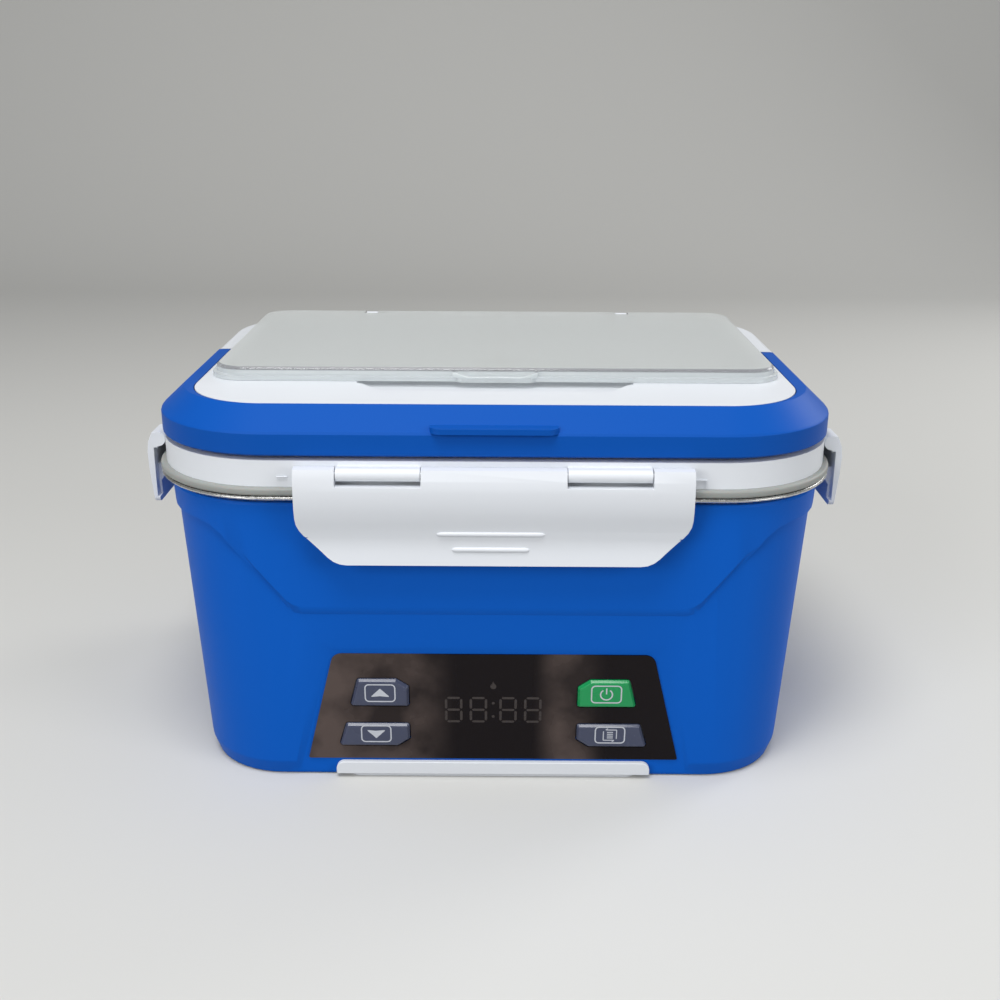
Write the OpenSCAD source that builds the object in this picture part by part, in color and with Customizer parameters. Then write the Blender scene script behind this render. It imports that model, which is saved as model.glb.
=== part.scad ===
// Electric lunch box: a heated base, a steel food container, a latched lid with a
// carry handle, and a clear flip-up cover over a cutlery tray.
// Millimetres, +Z up. The origin is on the table, under the middle of the box.
// The front, with the control panel, looks along -Y.

/* [Lid] */
// Distance of the lid's side edge outside the container's mouth
lid_side = 15; // [15:0.5:20]
// Distance of the lid's front and rear edges outside the container's mouth
lid_front = 17; // [17:0.5:22]
// Corner radius of the lid
lid_r = 43; // [36:1:50]
// Height of the plain ring round the lid
ring_h = 9.2; // [8:0.1:14]
// Width of the bevel round the top of the lid at the sides
side_bevel = 8; // [4:0.5:10]
// Width of the sloped face at the front of the lid
front_bevel = 11; // [6:0.5:14]
// Width of the bevel at the back of the lid
rear_bevel = 6; // [3:0.5:9]
// Depth of the cutlery tray below the lid's top
tray_depth = 11.5; // [8:0.5:13]
// Wall thickness of the lid
lid_wall = 2.4; // [1.6:0.1:3]
// Width of the finger scoop in front of the clear cover
scoop_w = 100; // [60:1:120]
// Distance that the finger scoop reaches in front of the clear cover
scoop_run = 13.5; // [10:0.5:18]
// Depth of the finger scoop
scoop_depth = 2; // [1:0.1:3]

/* [Handle] */
// Height of the handle's upright band
handle_band = 8; // [6:0.5:12]
// Height of the handle's sloped face
handle_slope = 7.2; // [5:0.1:9]
// Width of each handle arm, seen from above
arm_w = 12.4; // [10:0.1:16]
// Gap between the folded handle and the lid below it
handle_gap = 1.6; // [1:0.1:3]
// Clearance between the handle and the lid's raised middle
handle_clear = 0.4; // [0.3:0.05:1]
// Distance of the handle's pivot behind the middle of the box
pivot_y = 3; // [-20:1:20]
// Radius of the handle's pivot pins
pivot_pin_r = 2.5; // [2:0.1:3]
// Width of the thumb lip at the front of the handle
lip_w = 43; // [30:1:70]
// How far the thumb lip stands out
lip_out = 1.9; // [1:0.1:3]

/* [Clear cover] */
// Distance of the clear cover's sides inside the lid's edge
cover_side_in = 15.5; // [14:0.5:24]
// Distance of the clear cover's front edge behind the lid's front edge
cover_front_in = 43.3; // [40:0.1:60]
// Corner radius of the clear cover
cover_r = 12; // [8:0.5:18]
// Corner radius of the clear cover beside its hinge
cover_rear_r = 16; // [12:0.5:17]
// Height of the clear cover
cover_h = 4.8; // [4.4:0.1:7]
// Thickness of the clear cover
cover_t = 1.8; // [1.4:0.1:2.2]
// Distance of the cover's hinge axis in front of the lid's rear edge
hinge_in = 17; // [15:0.5:22]
// Radius of the cover's hinge barrel
barrel_r = 2.3; // [2:0.1:2.4]
// Radius of the cover's hinge pins
cover_pin_r = 0.9; // [0.7:0.05:1.1]
// Distance of each cover hinge from the middle
cover_hinge_x = 56; // [30:1:80]

/* [Latches] */
// Length of the front and rear latches
latch_long = 133; // [110:1:150]
// Length of the side latches
latch_short = 100; // [70:1:106]
// Height of a front or rear latch below its pivot
latch_drop = 31.5; // [28:0.5:34]
// Height of a side latch below its pivot
side_drop = 24; // [23:0.5:28]
// Thickness of a latch
latch_t = 2.4; // [2:0.1:3]
// Height of the chamfered lower corners of a front or rear latch
latch_corner = 13; // [10:0.5:16]
// Radius of the latch pins
latch_pin_r = 1.2; // [1:0.05:1.4]
// Radius of the roll at the top of a latch
roll_r = 2.7; // [2.4:0.1:3]
// Distance of a latch pivot outside the lid's edge
latch_out = 2.6; // [2.6:0.1:3.2]
// Width of each lid lug that carries a latch
lug_w = 28; // [16:1:30]
// Clearance at each side of a lug
lug_clear = 0.3; // [0.3:0.1:1]
// Distance of the front latch's lugs from the middle
lug_long_x = 38.5; // [26:0.5:44]
// Distance of a side latch's lugs from the middle
lug_short_x = 24; // [20:0.5:28]

/* [Container] */
// Inner width of the steel container at its mouth
pot_w = 210; // [190:1:212]
// Inner depth of the container at its mouth, front to back
pot_d = 142; // [130:1:144]
// Corner radius of the container
pot_r = 30; // [24:1:34]
// Height of the container from its floor to its flange
pot_h = 62; // [50:1:64]
// Steel thickness of the container
pot_t = 0.8; // [0.6:0.1:1.2]
// How far each container wall leans in from mouth to floor
pot_lean = 3; // [1:0.5:5]
// Fillet between the container's wall and its floor
pot_fillet = 8; // [4:0.5:12]
// Thickness of the container's rolled flange
flange_t = 1.4; // [1.2:0.1:2]
// How far the flange and the seal stand out past the lid
flange_out = 1.6; // [0.5:0.1:1.8]
// Thickness of the silicone seal
seal_t = 2.75; // [2:0.05:4]

/* [Body] */
// Distance of the body's rim inside the lid's edge at the sides
rim_side_in = 4; // [3:0.5:6]
// Distance of the body's rim inside the lid's edge at the front and back
rim_front_in = 2; // [1.5:0.5:5]
// Corner radius of the body at its rim
body_r = 38; // [32:1:42]
// Height of the body from its floor to its rim
body_h = 108.8; // [104:0.2:120]
// How far each body wall leans in from rim to floor
body_lean = 6; // [4:0.5:7]
// Wall thickness of the body
body_wall = 2.2; // [1.8:0.1:2.6]
// Height of the bevel round the body's floor
floor_bevel = 5; // [3:0.5:7]
// Height that the collar round the rim stands out
collar_out = 1.2; // [0.8:0.1:1.6]
// Height of the collar at the sides
collar_h = 9; // [6:0.5:12]
// Height of the collar at the front, down to its lowest edge
collar_drop = 39; // [30:0.5:42]
// Width of the collar's lowest edge
collar_low_w = 141; // [120:1:150]
// Width of the bevel below the collar
collar_bevel = 3.3; // [1:0.1:4]
// Gap between the body's rim and the container's flange
rim_gap = 1.6; // [1.4:0.1:3]

/* [Control panel] */
// Width of the printed film at its top
film_top_w = 115; // [104:1:118]
// Width of the printed film at its bottom
film_low_w = 136.6; // [130:1:140]
// Height of the film's lower edge above the body's floor
film_low = 6.2; // [6:0.1:7]
// Height of the film
film_h = 44; // [42:0.5:46]
// Thickness of the film
film_t = 0.5; // [0.3:0.1:0.7]
// Depth of the recess that the film lies in
recess_depth = 1.2; // [1:0.1:1.5]
// Width of the border between the film and the recess's wall
recess_border = 1.6; // [1:0.1:3]
// Width of the recess's sloped wall
recess_slope = 2.6; // [1:0.1:4]
// How far the buttons stand out of the film
button_out = 1.3; // [0.8:0.1:2]
// Clearance round each button
button_clear = 0.35; // [0.2:0.05:0.6]
// Travel of the buttons
button_travel = 0.8; // [0.5:0.1:1]
// Distance of the control board behind the panel wall
board_depth = 8.5; // [8.4:0.1:9.5]

/* [Base] */
// Height of the body's floor above the table
foot_h = 1.2; // [0.8:0.1:2.5]
// Length of the foot bars
foot_len = 116; // [90:1:120]
// Width of the foot bars, front to back
foot_d = 12; // [8:1:16]
// Height of the lip on the front foot bar
foot_lip_h = 5; // [3.5:0.1:5.2]
// Thickness of the base plate
base_t = 2.4; // [2:0.1:3]
// Radius of the screws
screw_r = 1.5; // [1.2:0.1:1.8]
// Radius of the screw bosses
boss_r = 4; // [3.5:0.1:5]

/* [Heater] */
// Width of the heating plate
plate_w = 150; // [120:1:160]
// Depth of the heating plate
plate_d = 92; // [80:1:100]
// Thickness of the heating plate
plate_t = 3; // [2:0.1:3.5]
// Wall thickness of the inner liner
liner_t = 1.8; // [1.4:0.1:2.2]
// Clearance between the container and the liner
liner_clear = 1.2; // [0.8:0.1:1.6]
// Height of the gap between the liner's floor and the heat shield
shield_drop = 13; // [12:0.5:15]

/* [Battery] */
// Radius of one cell
cell_r = 9.2; // [9:0.1:9.4]
// Length of one cell
cell_len = 65.2; // [60:0.1:70]
// Number of cells
cell_count = 4; // [2:1:4]

/* [Power inlet] */
// Width of the inlet's outer body
inlet_w = 24; // [22:0.5:28]
// Height of the inlet's outer body
inlet_h = 14; // [13:0.5:16]
// Height of the inlet's middle above the table
inlet_z = 28; // [24:0.5:36]

/* [Hidden] */

// Points on one rounded corner of a loft, and facets of a true circle
arc_n = 12;
round_fn = 64;
// Running clearance of the hinge pins, and the gap where pieces seat
pin_clear = 0.06;
seat = 0.2;
eps = 0.5;

blue = [0.05, 0.33, 0.80];
white = [0.93, 0.95, 0.97];
steel = [0.78, 0.79, 0.80];
grey = [0.62, 0.64, 0.65];
black = [0.07, 0.07, 0.08];
slate = [0.22, 0.25, 0.31];
green = [0.02, 0.55, 0.25];
copper = [0.80, 0.52, 0.28];

// Outer sizes, which follow from the container
lid_w = pot_w + 2 * lid_side;
lid_d = pot_d + 2 * lid_front;
body_w = lid_w - 2 * rim_side_in;
body_d = lid_d - 2 * rim_front_in;

// Heights of the stack, from the table up
z_floor = foot_h;
z_rim = z_floor + body_h;
z_flange = z_rim + rim_gap;
z_mouth = z_flange + flange_t;
z_seal = z_mouth + seat;
z_ring = z_seal + seal_t;
z_shelf = z_ring + ring_h;
z_handle = z_shelf + handle_gap;
z_bevel = z_handle + handle_band;
z_top = z_bevel + handle_slope;
z_tray = z_top - tray_depth;
z_pivot = (z_handle + z_top) / 2;

// Half sizes of the lid, of its top and of the raised middle inside the handle
lid_x = lid_w / 2;
lid_y = lid_d / 2;
top_x = lid_x - side_bevel;
top_y = lid_y - (front_bevel + rear_bevel) / 2;
top_cy = (front_bevel - rear_bevel) / 2;
top_r = lid_r - (front_bevel + side_bevel) / 2;
core_x = lid_x - arm_w - handle_clear;
core_front = lid_y - front_bevel - handle_clear - 0.4;
core_r = lid_r - arm_w - handle_clear - 2;

// The handle's end is round about its pivot and stays inside this radius
arm_end_r = norm([7, (z_top - z_handle) / 2]);
arm_in_x = lid_x - arm_w;
arm_mid_x = lid_x - arm_w / 2;
pivot_pin_len = 15;

// The container: floor inside, underside, and the liner and plate below it
z_pot_floor = z_mouth - pot_h;
z_pot_under = z_pot_floor - pot_t;
z_plate = z_pot_under - seat - plate_t;
z_liner = z_plate - liner_t;
liner_lip_t = rim_gap - seat;
flange_x = lid_x + flange_out;
flange_y = lid_y + flange_out;
flange_r = lid_r + flange_out;

// Body sections
floor_x = body_w / 2 - body_lean;
floor_y = body_d / 2 - body_lean;
floor_r = body_r - body_lean;
lean_a = atan(body_lean / body_h);
function wall_x(z) = floor_x + body_lean * (z - z_floor) / body_h;
function wall_y(z) = floor_y + body_lean * (z - z_floor) / body_h;
function wall_r(z) = floor_r + body_lean * (z - z_floor) / body_h;

// Latch frame: u along the latch, v outwards from the lid's edge, z up
z_latch = z_shelf - roll_r - 1.1;
latch_face = latch_out + roll_r + 1.4;
hook_top = z_flange - 0.4;
hook_in = max(body_d / 2 - lid_y, body_w / 2 - lid_x) + collar_out + 0.3;
lug_r = roll_r - 0.15;
lug_under = 1.7;
slit_h = 1.6;

// Cover
cover_w = lid_w - 2 * cover_side_in;
cover_hinge_y = lid_y - hinge_in;
cover_rear = cover_hinge_y + barrel_r;
cover_front = lid_y - cover_front_in;
cover_d = cover_rear + cover_front;
cover_cy = cover_rear - cover_d / 2;
z_cover = z_top + seat;
z_cover_hinge = z_cover + barrel_r + 0.05;
tray_x = cover_w / 2 - 5;
tray_front = cover_front - 4;
tray_rear = cover_hinge_y - 6;

// Panel pieces: outlines as [x, height above the body's floor]
film_half_top = film_top_w / 2;
film_half_low = film_low_w / 2;
film_top = film_low + film_h;
key_in = 30.6;
key_rows = [[28.8, 40.1], [11.9, 21.5]];
key_cut = [4.4, 3];
key_wide = [50, 54.6];
key_narrow = 2.8;
window_w = 44;
window_h = 17;
window_mid = 27.3;

// Ring of points round a rounded rectangle with half sizes hx and hy
function ring(hx, hy, r, z, cy = 0) = [
    for (q = [0:3])
        for (i = [0:arc_n])
            let (a = 90 * q + 90 * i / arc_n,
                 sx = (q == 0 || q == 3) ? 1 : -1,
                 sy = (q < 2) ? 1 : -1)
            [sx * (hx - r) + r * cos(a), cy + sy * (hy - r) + r * sin(a), z]];

// Body ring at height z, grown by g
function body_ring(z, g = 0) = ring(wall_x(z) + g, wall_y(z) + g, wall_r(z) + g, z);

// Closed solid through a stack of rings, with a cap at each end
module loft(rings) {
    n = len(rings[0]);
    m = len(rings);
    points = [for (s = rings) each s];
    sides = [for (k = [0:m - 2], i = [0:n - 1])
        let (a = k * n + i, b = k * n + (i + 1) % n)
        each [[a, a + n, b + n], [a, b + n, b]]];
    low = [for (i = [0:n - 1]) i];
    high = [for (i = [n - 1:-1:0]) (m - 1) * n + i];
    polyhedron(points, concat([low], sides, [high]), convexity = 6);
}

// Flat rounded rectangle with half sizes hx and hy
module round_rect(hx, hy, r) {
    square([2 * hx, 2 * (hy - r)], center = true);
    square([2 * (hx - r), 2 * hy], center = true);
    for (sx = [-1, 1], sy = [-1, 1])
        translate([sx * (hx - r), sy * (hy - r)])
            circle(r, $fn = round_fn);
}

// Slab with rounded corners from z0 up to z1
module slab(hx, hy, r, z0, z1, cy = 0) {
    translate([0, cy, z0])
        linear_extrude(z1 - z0)
            round_rect(hx, hy, r);
}

// Cylinder along X between x0 and x1
module rod_x(r, x0, x1, y, z) {
    translate([x0, y, z])
        rotate([0, 90, 0])
            cylinder(h = x1 - x0, r = r, $fn = round_fn);
}

// Box between two corners
module box(a, b) {
    translate(a)
        cube([b[0] - a[0], b[1] - a[1], b[2] - a[2]]);
}

// Copies mirrored to both sides
module both_sides() {
    children();
    mirror([1, 0, 0]) children();
}

// ---- Base: shell, plate, feet ----

foot_mid_y = floor_y - foot_d / 2 + 0.9;
foot_seat_top = z_floor + base_t;

// Places a child on the leaning panel wall: x right, y up the wall, z outwards
module on_panel(depth = 0) {
    translate([0, -floor_y, z_floor])
        rotate([90 + lean_a, 0, 0])
            translate([0, 0, -depth])
                children();
}

// Outline of the collar at the depth y, seen from the front: shallow at the sides,
// deep in the middle. It grows by g below.
function collar_outline(g, y) =
    let (low = z_rim - collar_drop - g,
         side = z_rim - collar_h,
         half = collar_low_w / 2,
         slope = 0.8,
         shoulder = half + slope * (side - low),
         wide = body_w / 2 + 5,
         right = [[half - 3, low], [half - 0.6, low + 0.5], [half + slope * 2.4, low + 2.4],
             [shoulder - slope * 4.5, side - 4.5], [shoulder + 1, side - 1.1],
             [shoulder + 6, side], [wide, side], [wide, z_rim + 1]])
    [for (p = right) [p[0], y, p[1]], for (i = [len(right) - 1:-1:0]) [-right[i][0], y, right[i][1]]];

// Block with the collar's outline, which widens from the collar's face to the wall
module collar_block() {
    face = wall_y(z_rim - collar_drop);
    loft([
        collar_outline(collar_bevel, 0),
        collar_outline(collar_bevel, 0.1 - face),
        collar_outline(0, -face - collar_out),
        collar_outline(0, -body_d)]);
}

// Trapezoid of the panel grown by g and running down past the body's floor
module recess_outline(g) {
    flare = (film_half_low - film_half_top) / film_h;
    run = film_low + 8;
    polygon([
        [-film_half_low - g - flare * run, -8], [film_half_low + g + flare * run, -8],
        [film_half_top + g - 3 * flare, film_top + g], [-film_half_top - g + 3 * flare, film_top + g]]);
}

// Shallow recess with sloped walls
module panel_recess() {
    hull() {
        on_panel(recess_depth)
            linear_extrude(0.01) recess_outline(recess_border);
        on_panel(-1)
            linear_extrude(0.01) recess_outline(recess_border + recess_slope * (1 + 1 / recess_depth));
    }
}

module boss_places() {
    for (sx = [-1, 1])
        for (p = [[12, 8 - shield_y], [20, 0], [12, shield_y - 8]])
            translate([sx * (shield_x + p[0]), p[1], 0])
                children();
}

// Middle of the button in one row
function key_mid(row) = [(key_in + key_wide[row]) / 2, (key_rows[row][0] + key_rows[row][1]) / 2];

// Outline of one button, with g added all round
module key_outline(row, wide, g = 0) {
    low = key_rows[row][0] - g;
    high = key_rows[row][1] + g;
    a = key_in - g;
    b = key_wide[row] + wide + g;
    if (row == 0)
        polygon([[a, low], [b + key_narrow / 2, low], [b - key_narrow / 2, high],
            [a + key_cut[0], high], [a, high - key_cut[1]]]);
    else
        polygon([[a + key_cut[0], low], [b + key_narrow / 2, low], [b - key_narrow / 2, high],
            [a, high], [a, low + key_cut[1]]]);
}

module all_key_outlines(g = 0) {
    for (row = [0, 1]) {
        key_outline(row, 0.5, g);
        mirror([1, 0]) key_outline(row, 0.5, g);
    }
}

// The shell's edge hangs a little below the base plate
skirt_z = 0.5;

module body_shell() {
    z_in = skirt_z - eps;
    color(blue)
        difference() {
            union() {
                loft([
                    body_ring(skirt_z, -1.6),
                    body_ring(z_floor + floor_bevel - 0.8, -0.2),
                    body_ring(z_floor + floor_bevel + 0.6),
                    body_ring(z_rim)]);
                intersection() {
                    loft([body_ring(z_rim - collar_drop - collar_bevel - 1, collar_out),
                        body_ring(z_rim - 0.8, collar_out),
                        body_ring(z_rim, collar_out - 0.6)]);
                    union() {
                        collar_block();
                        mirror([0, 1, 0]) collar_block();
                    }
                }
            }
            difference() {
                loft([
                    ring(wall_x(z_in) - body_wall - 1, wall_y(z_in) - body_wall - 1,
                        floor_r - body_wall - 1, z_in),
                    body_ring(z_floor + floor_bevel, -body_wall),
                    body_ring(z_rim + 1, -body_wall)]);
                on_panel(recess_depth + body_wall)
                    linear_extrude(body_wall + 4)
                        polygon([[-film_half_low - 5, -2], [film_half_low + 5, -2],
                            [film_half_top + 4, film_top + 5], [-film_half_top - 4, film_top + 5]]);
                on_panel(board_face - 0.05)
                    board_holes()
                        cylinder(h = board_face, r = board_boss_r, $fn = round_fn);
            }
            on_panel(board_face + 1)
                board_holes()
                    cylinder(h = board_screw_len, r = board_screw_r + 0.02, $fn = round_fn);
            panel_recess();
            on_panel(recess_depth + body_wall + 1)
                linear_extrude(body_wall + 6) {
                    all_key_outlines(button_clear);
                    translate([0, window_mid])
                        square([window_w, window_h], center = true);
                }
            at_inlet()
                box([-inlet_w / 2 - seat, -body_wall - 6, -inlet_h / 2 - seat],
                    [inlet_w / 2 + seat, 6, inlet_h / 2 + seat]);
            for (side = [-1, 1])
                translate([0, side * foot_mid_y, z_floor])
                    box([-foot_len / 2 - seat, -foot_d, -1],
                        [foot_len / 2 + seat, foot_d, base_t + seat]);
        }
}

// The base plate closes the floor inside the shell
plate_in = body_wall + 1.3;
base_plate_x = floor_x - plate_in - 0.4;
base_plate_y = floor_y - plate_in - 0.4;
plate_boss_h = 9;
rib_h = 1;
shelf_t = 1.4;
head_sunk = 3;
base_screw_len = 14;

module base_plate() {
    color(blue)
        difference() {
            union() {
                slab(base_plate_x, base_plate_y, floor_r - plate_in, z_floor, z_floor + base_t);
                boss_places()
                    translate([0, 0, z_floor])
                        cylinder(h = plate_boss_h, r = boss_r, $fn = round_fn);
                for (x = [-72:36:72])
                    box([x - 0.6, -30, z_floor + base_t - 0.1],
                        [x + 0.6, 30, z_floor + base_t + rib_h]);
                intersection() {
                    slab(base_plate_x, base_plate_y, floor_r - plate_in, z_floor, foot_seat_top + shelf_t);
                    for (side = [-1, 1])
                        translate([0, side * foot_mid_y, z_floor])
                            box([-foot_len / 2 - 3, -foot_d / 2 - 2, 0],
                                [foot_len / 2 + 3, foot_d / 2 + 2, base_t + shelf_t]);
                }
            }
            boss_places() {
                translate([0, 0, z_floor - 1])
                    cylinder(h = plate_boss_h + 2, r = screw_r + 0.2, $fn = round_fn);
                translate([0, 0, z_floor - 1])
                    cylinder(h = 1 + head_sunk, r = screw_r * 2, $fn = round_fn);
            }
            for (side = [-1, 1])
                translate([0, side * foot_mid_y, z_floor])
                    box([-foot_len / 2 - seat, side > 0 ? -foot_d / 2 - seat : -2 * foot_d, -1],
                        [foot_len / 2 + seat, side > 0 ? 2 * foot_d : foot_d / 2 + seat,
                            base_t + 0.05]);
        }
}

foot_lip_t = 2;
foot_lip_r = 3;

// Foot bar: a rounded flange with a narrower tread below it. The front one has a lip
// that stands up in front of the panel's recess.
module foot_bar(side) {
    mid_y = side * foot_mid_y;
    lip_low = z_floor + 0.4;
    color(white)
        union() {
            slab(foot_len / 2, foot_d / 2, foot_d / 2 - 0.1, lip_low, foot_seat_top, mid_y);
            slab(foot_len / 2 - 4, foot_d / 2 - 1, foot_d / 2 - 1.1, 0, z_floor + 0.5, mid_y);
            if (side < 0)
                translate([0, recess_depth - floor_y - 0.4, lip_low])
                    rotate([90, 0, 0])
                        linear_extrude(foot_lip_t)
                            intersection() {
                                round_rect(foot_len / 2, foot_lip_h, foot_lip_r);
                                translate([-foot_len / 2, 0])
                                    square([foot_len, foot_lip_h]);
                            }
        }
}

module foot_bar_front() { foot_bar(-1); }
module foot_bar_rear() { foot_bar(1); }

module base_screws() {
    color(steel)
        boss_places()
            translate([0, 0, z_floor + head_sunk - 0.05]) {
                translate([0, 0, -1.6])
                    cylinder(h = 1.6, r = screw_r * 2 - 0.3, $fn = round_fn);
                cylinder(h = base_screw_len, r = screw_r, $fn = round_fn);
            }
}

// ---- Liner and heater ----

liner_x = pot_w / 2 + pot_t + liner_clear + liner_t;
liner_y = pot_d / 2 + pot_t + liner_clear + liner_t;
liner_r = pot_r + pot_t + liner_clear + liner_t;
boss_z = z_floor + plate_boss_h + seat;

module inner_liner() {
    lip_x = body_w / 2 - 1;
    lip_y = body_d / 2 - 1;
    lean = pot_lean;
    color(white)
        difference() {
            union() {
                loft([
                    ring(liner_x - lean - 2, liner_y - lean - 2, liner_r - lean - 2, z_liner),
                    ring(liner_x - lean, liner_y - lean, liner_r - lean, z_liner + 2),
                    ring(liner_x, liner_y, liner_r, z_rim + seat),
                    ring(lip_x, lip_y, body_r - 1, z_rim + seat),
                    ring(lip_x, lip_y, body_r - 1, z_rim + liner_lip_t),
                    ring(liner_x - liner_t, liner_y - liner_t, liner_r - liner_t, z_rim + liner_lip_t),
                    ring(liner_x - lean - liner_t, liner_y - lean - liner_t,
                        liner_r - lean - liner_t, z_liner + liner_t)]);
                boss_places()
                    translate([0, 0, boss_z])
                        cylinder(h = z_liner - boss_z + 0.6, r = boss_r, $fn = round_fn);
                for (sx = [-1, 1], sy = [-1, 1])
                    translate([sx * shield_x, sy * shield_y, z_liner - shield_drop])
                        cylinder(h = shield_drop + 0.6, r = boss_r - 0.8, $fn = round_fn);
            }
            boss_places()
                translate([0, 0, boss_z - 1])
                    cylinder(h = base_screw_len - 2, r = screw_r + 0.02, $fn = round_fn);
            for (sx = [-1, 1], sy = [-1, 1])
                translate([sx * shield_x, sy * shield_y, z_liner - shield_drop - 1])
                    cylinder(h = 9, r = screw_r + 0.02, $fn = round_fn);
            slab(plate_w / 2 - 6, plate_d / 2 - 6, 6, z_liner - 1, z_liner + liner_t + 1);
        }
}

shield_x = plate_w / 2 - 9;
shield_y = plate_d / 2 + 6;

module liner_screws() {
    color(steel)
        for (sx = [-1, 1], sy = [-1, 1])
            translate([sx * shield_x, sy * shield_y, z_liner - shield_drop - shield_t - seat]) {
                translate([0, 0, -1.8])
                    cylinder(h = 1.8, r = screw_r * 2, $fn = round_fn);
                cylinder(h = 8, r = screw_r, $fn = round_fn);
            }
}

module heating_plate() {
    color(grey)
        slab(plate_w / 2, plate_d / 2, 12, z_plate + 0.02, z_plate + plate_t);
}

heater_w = 110;
heater_d = 26;
heater_t = 4.5;

module ptc_heater() {
    color(copper)
        box([-heater_w / 2, -heater_d / 2, z_plate - heater_t], [heater_w / 2, heater_d / 2, z_plate]);
}

// Bent strap that holds the heater against the plate
module heater_clamp() {
    z0 = z_plate - heater_t - seat;
    color(steel)
        for (side = [-1, 1])
            translate([side * (heater_w / 2 - 25), 0, 0])
                difference() {
                    box([-7, -heater_d / 2 - 12, z0 - 1], [7, heater_d / 2 + 12, z_plate]);
                    box([-8, -heater_d / 2 - seat, z0], [8, heater_d / 2 + seat, z_plate + 1]);
                    for (s = [-1, 1])
                        box([-8, s * (heater_d / 2 + 7.2) - 6, z0 - 2],
                            [8, s * (heater_d / 2 + 7.2) + 6, z_plate - 1]);
                }
}

module thermostat() {
    color(black)
        translate([-plate_w / 2 + 23, plate_d / 2 - 16, z_plate])
            mirror([0, 0, 1]) {
                cylinder(h = 5, r = 8, $fn = round_fn);
                translate([0, 0, 5])
                    cylinder(h = 3, r = 5.5, $fn = round_fn);
            }
}

module thermal_fuse() {
    color(white)
        rod_x(1.9, plate_w / 2 - 37, plate_w / 2 - 19, 15 - plate_d / 2, z_plate - 1.9);
}

shield_t = 0.8;

// Steel pan below the heater, with a turned-down rim
module heat_shield() {
    z1 = z_liner - shield_drop;
    color(steel)
        difference() {
            slab(shield_x + 6, shield_y + 6, 8, z1 - shield_t, z1);
            for (sx = [-1, 1], sy = [-1, 1])
                translate([sx * shield_x, sy * shield_y, z1 - 2])
                    cylinder(h = 4, r = screw_r + 0.2, $fn = round_fn);
        }
}

// ---- Battery and boards ----

cell_pitch = 2 * cell_r + 0.6;
tray_z = z_floor + base_t + rib_h + seat;
pack_y = (cell_count * cell_pitch) / 2;
cell_x = 6;
tray_end = 3.2;

module cell_places() {
    for (i = [0:cell_count - 1])
        translate([0, (i + 0.5) * cell_pitch - pack_y, tray_z + 1.6 + cell_r])
            children();
}

module battery_tray() {
    half = cell_len / 2 + tray_end;
    color(black)
        difference() {
            box([-half + cell_x, -pack_y - 2, tray_z], [half + cell_x, pack_y + 2, tray_z + cell_r + 1]);
            cell_places()
                rod_x(cell_r + 0.1, cell_x - cell_len / 2 - 1.2, cell_x + cell_len / 2 + 1.2, 0, 0);
            box([-half + cell_x + 2, -pack_y, tray_z + cell_r - 2],
                [half + cell_x - 2, pack_y, tray_z + cell_r + 2]);
        }
}

module battery_cells() {
    color(green)
        cell_places()
            rod_x(cell_r, cell_x - cell_len / 2, cell_x + cell_len / 2, 0, 0);
}

module battery_links() {
    z = tray_z + 1.6 + cell_r;
    color(steel)
        for (s = [-1, 1])
            translate([cell_x + s * (cell_len / 2 + 0.35), 0, z])
                cube([0.3, cell_count * cell_pitch - 8, 7], center = true);
}

module power_board() {
    x = cell_x + cell_len / 2 + tray_end + 6 + 16;
    z = tray_z;
    color([0.05, 0.35, 0.15])
        box([x - 16, -38, z], [x + 16, 38, z + 1.6]);
    color(black) {
        box([x - 10, -20, z + 1.6], [x + 6, -4, z + 12]);
        translate([x, 20, z + 1.6])
            cylinder(h = 14, r = 6, $fn = round_fn);
        box([x - 12, 4, z + 1.6], [x - 9, 30, z + 10]);
    }
}

board_face = recess_depth + board_depth;
board_low = film_low - 1.2;
board_high = film_top - 6.7;
board_low_x = film_half_low - 2.3;
board_high_x = film_half_top + 8;
board_t = 1.6;
board_screw_r = screw_r - 0.4;
board_screw_len = 5;
board_boss_r = 3;

module board_holes() {
    for (sx = [-1, 1]) {
        translate([sx * (board_low_x - 4.3), board_low + 3.5, 0])
            children();
        translate([sx * (board_high_x - 5), board_high - 3.5, 0])
            children();
    }
}

module control_board() {
    color([0.05, 0.35, 0.15])
        on_panel(board_face + board_t)
            difference() {
                linear_extrude(board_t)
                    polygon([[-board_low_x, board_low], [board_low_x, board_low],
                        [board_high_x, board_high], [-board_high_x, board_high]]);
                board_holes()
                    translate([0, 0, -1])
                        cylinder(h = board_t + 2, r = board_screw_r + 0.1, $fn = round_fn);
            }
}

module board_screws() {
    color(steel)
        on_panel(board_face + board_t + 0.05)
            board_holes() {
                translate([0, 0, -1.2])
                    cylinder(h = 1.2, r = screw_r * 1.7, $fn = round_fn);
                cylinder(h = board_screw_len, r = board_screw_r, $fn = round_fn);
            }
}

module display_module() {
    color(black)
        on_panel(board_face)
            translate([-window_w / 2 + 1, window_mid - window_h / 2 + 1, 0.05])
                cube([window_w - 2, window_h - 2, board_face - recess_depth - 0.6]);
}

switch_h = 3.3;

module key_switches() {
    color(black)
        on_panel(board_face)
            for (side = [-1, 1], row = [0, 1])
                translate([side * key_mid(row)[0], key_mid(row)[1], 0.05]) {
                    translate([-3, -3, 0])
                        cube([6, 6, switch_h - 0.9]);
                    translate([0, 0, switch_h - 0.9])
                        cylinder(h = 0.9, r = 1.7, $fn = round_fn);
                }
}

module control_film() {
    color(black)
        on_panel(recess_depth)
            translate([0, 0, 0.02])
                linear_extrude(film_t)
                    difference() {
                        film_outline();
                        all_key_outlines(button_clear);
                    }
}

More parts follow.
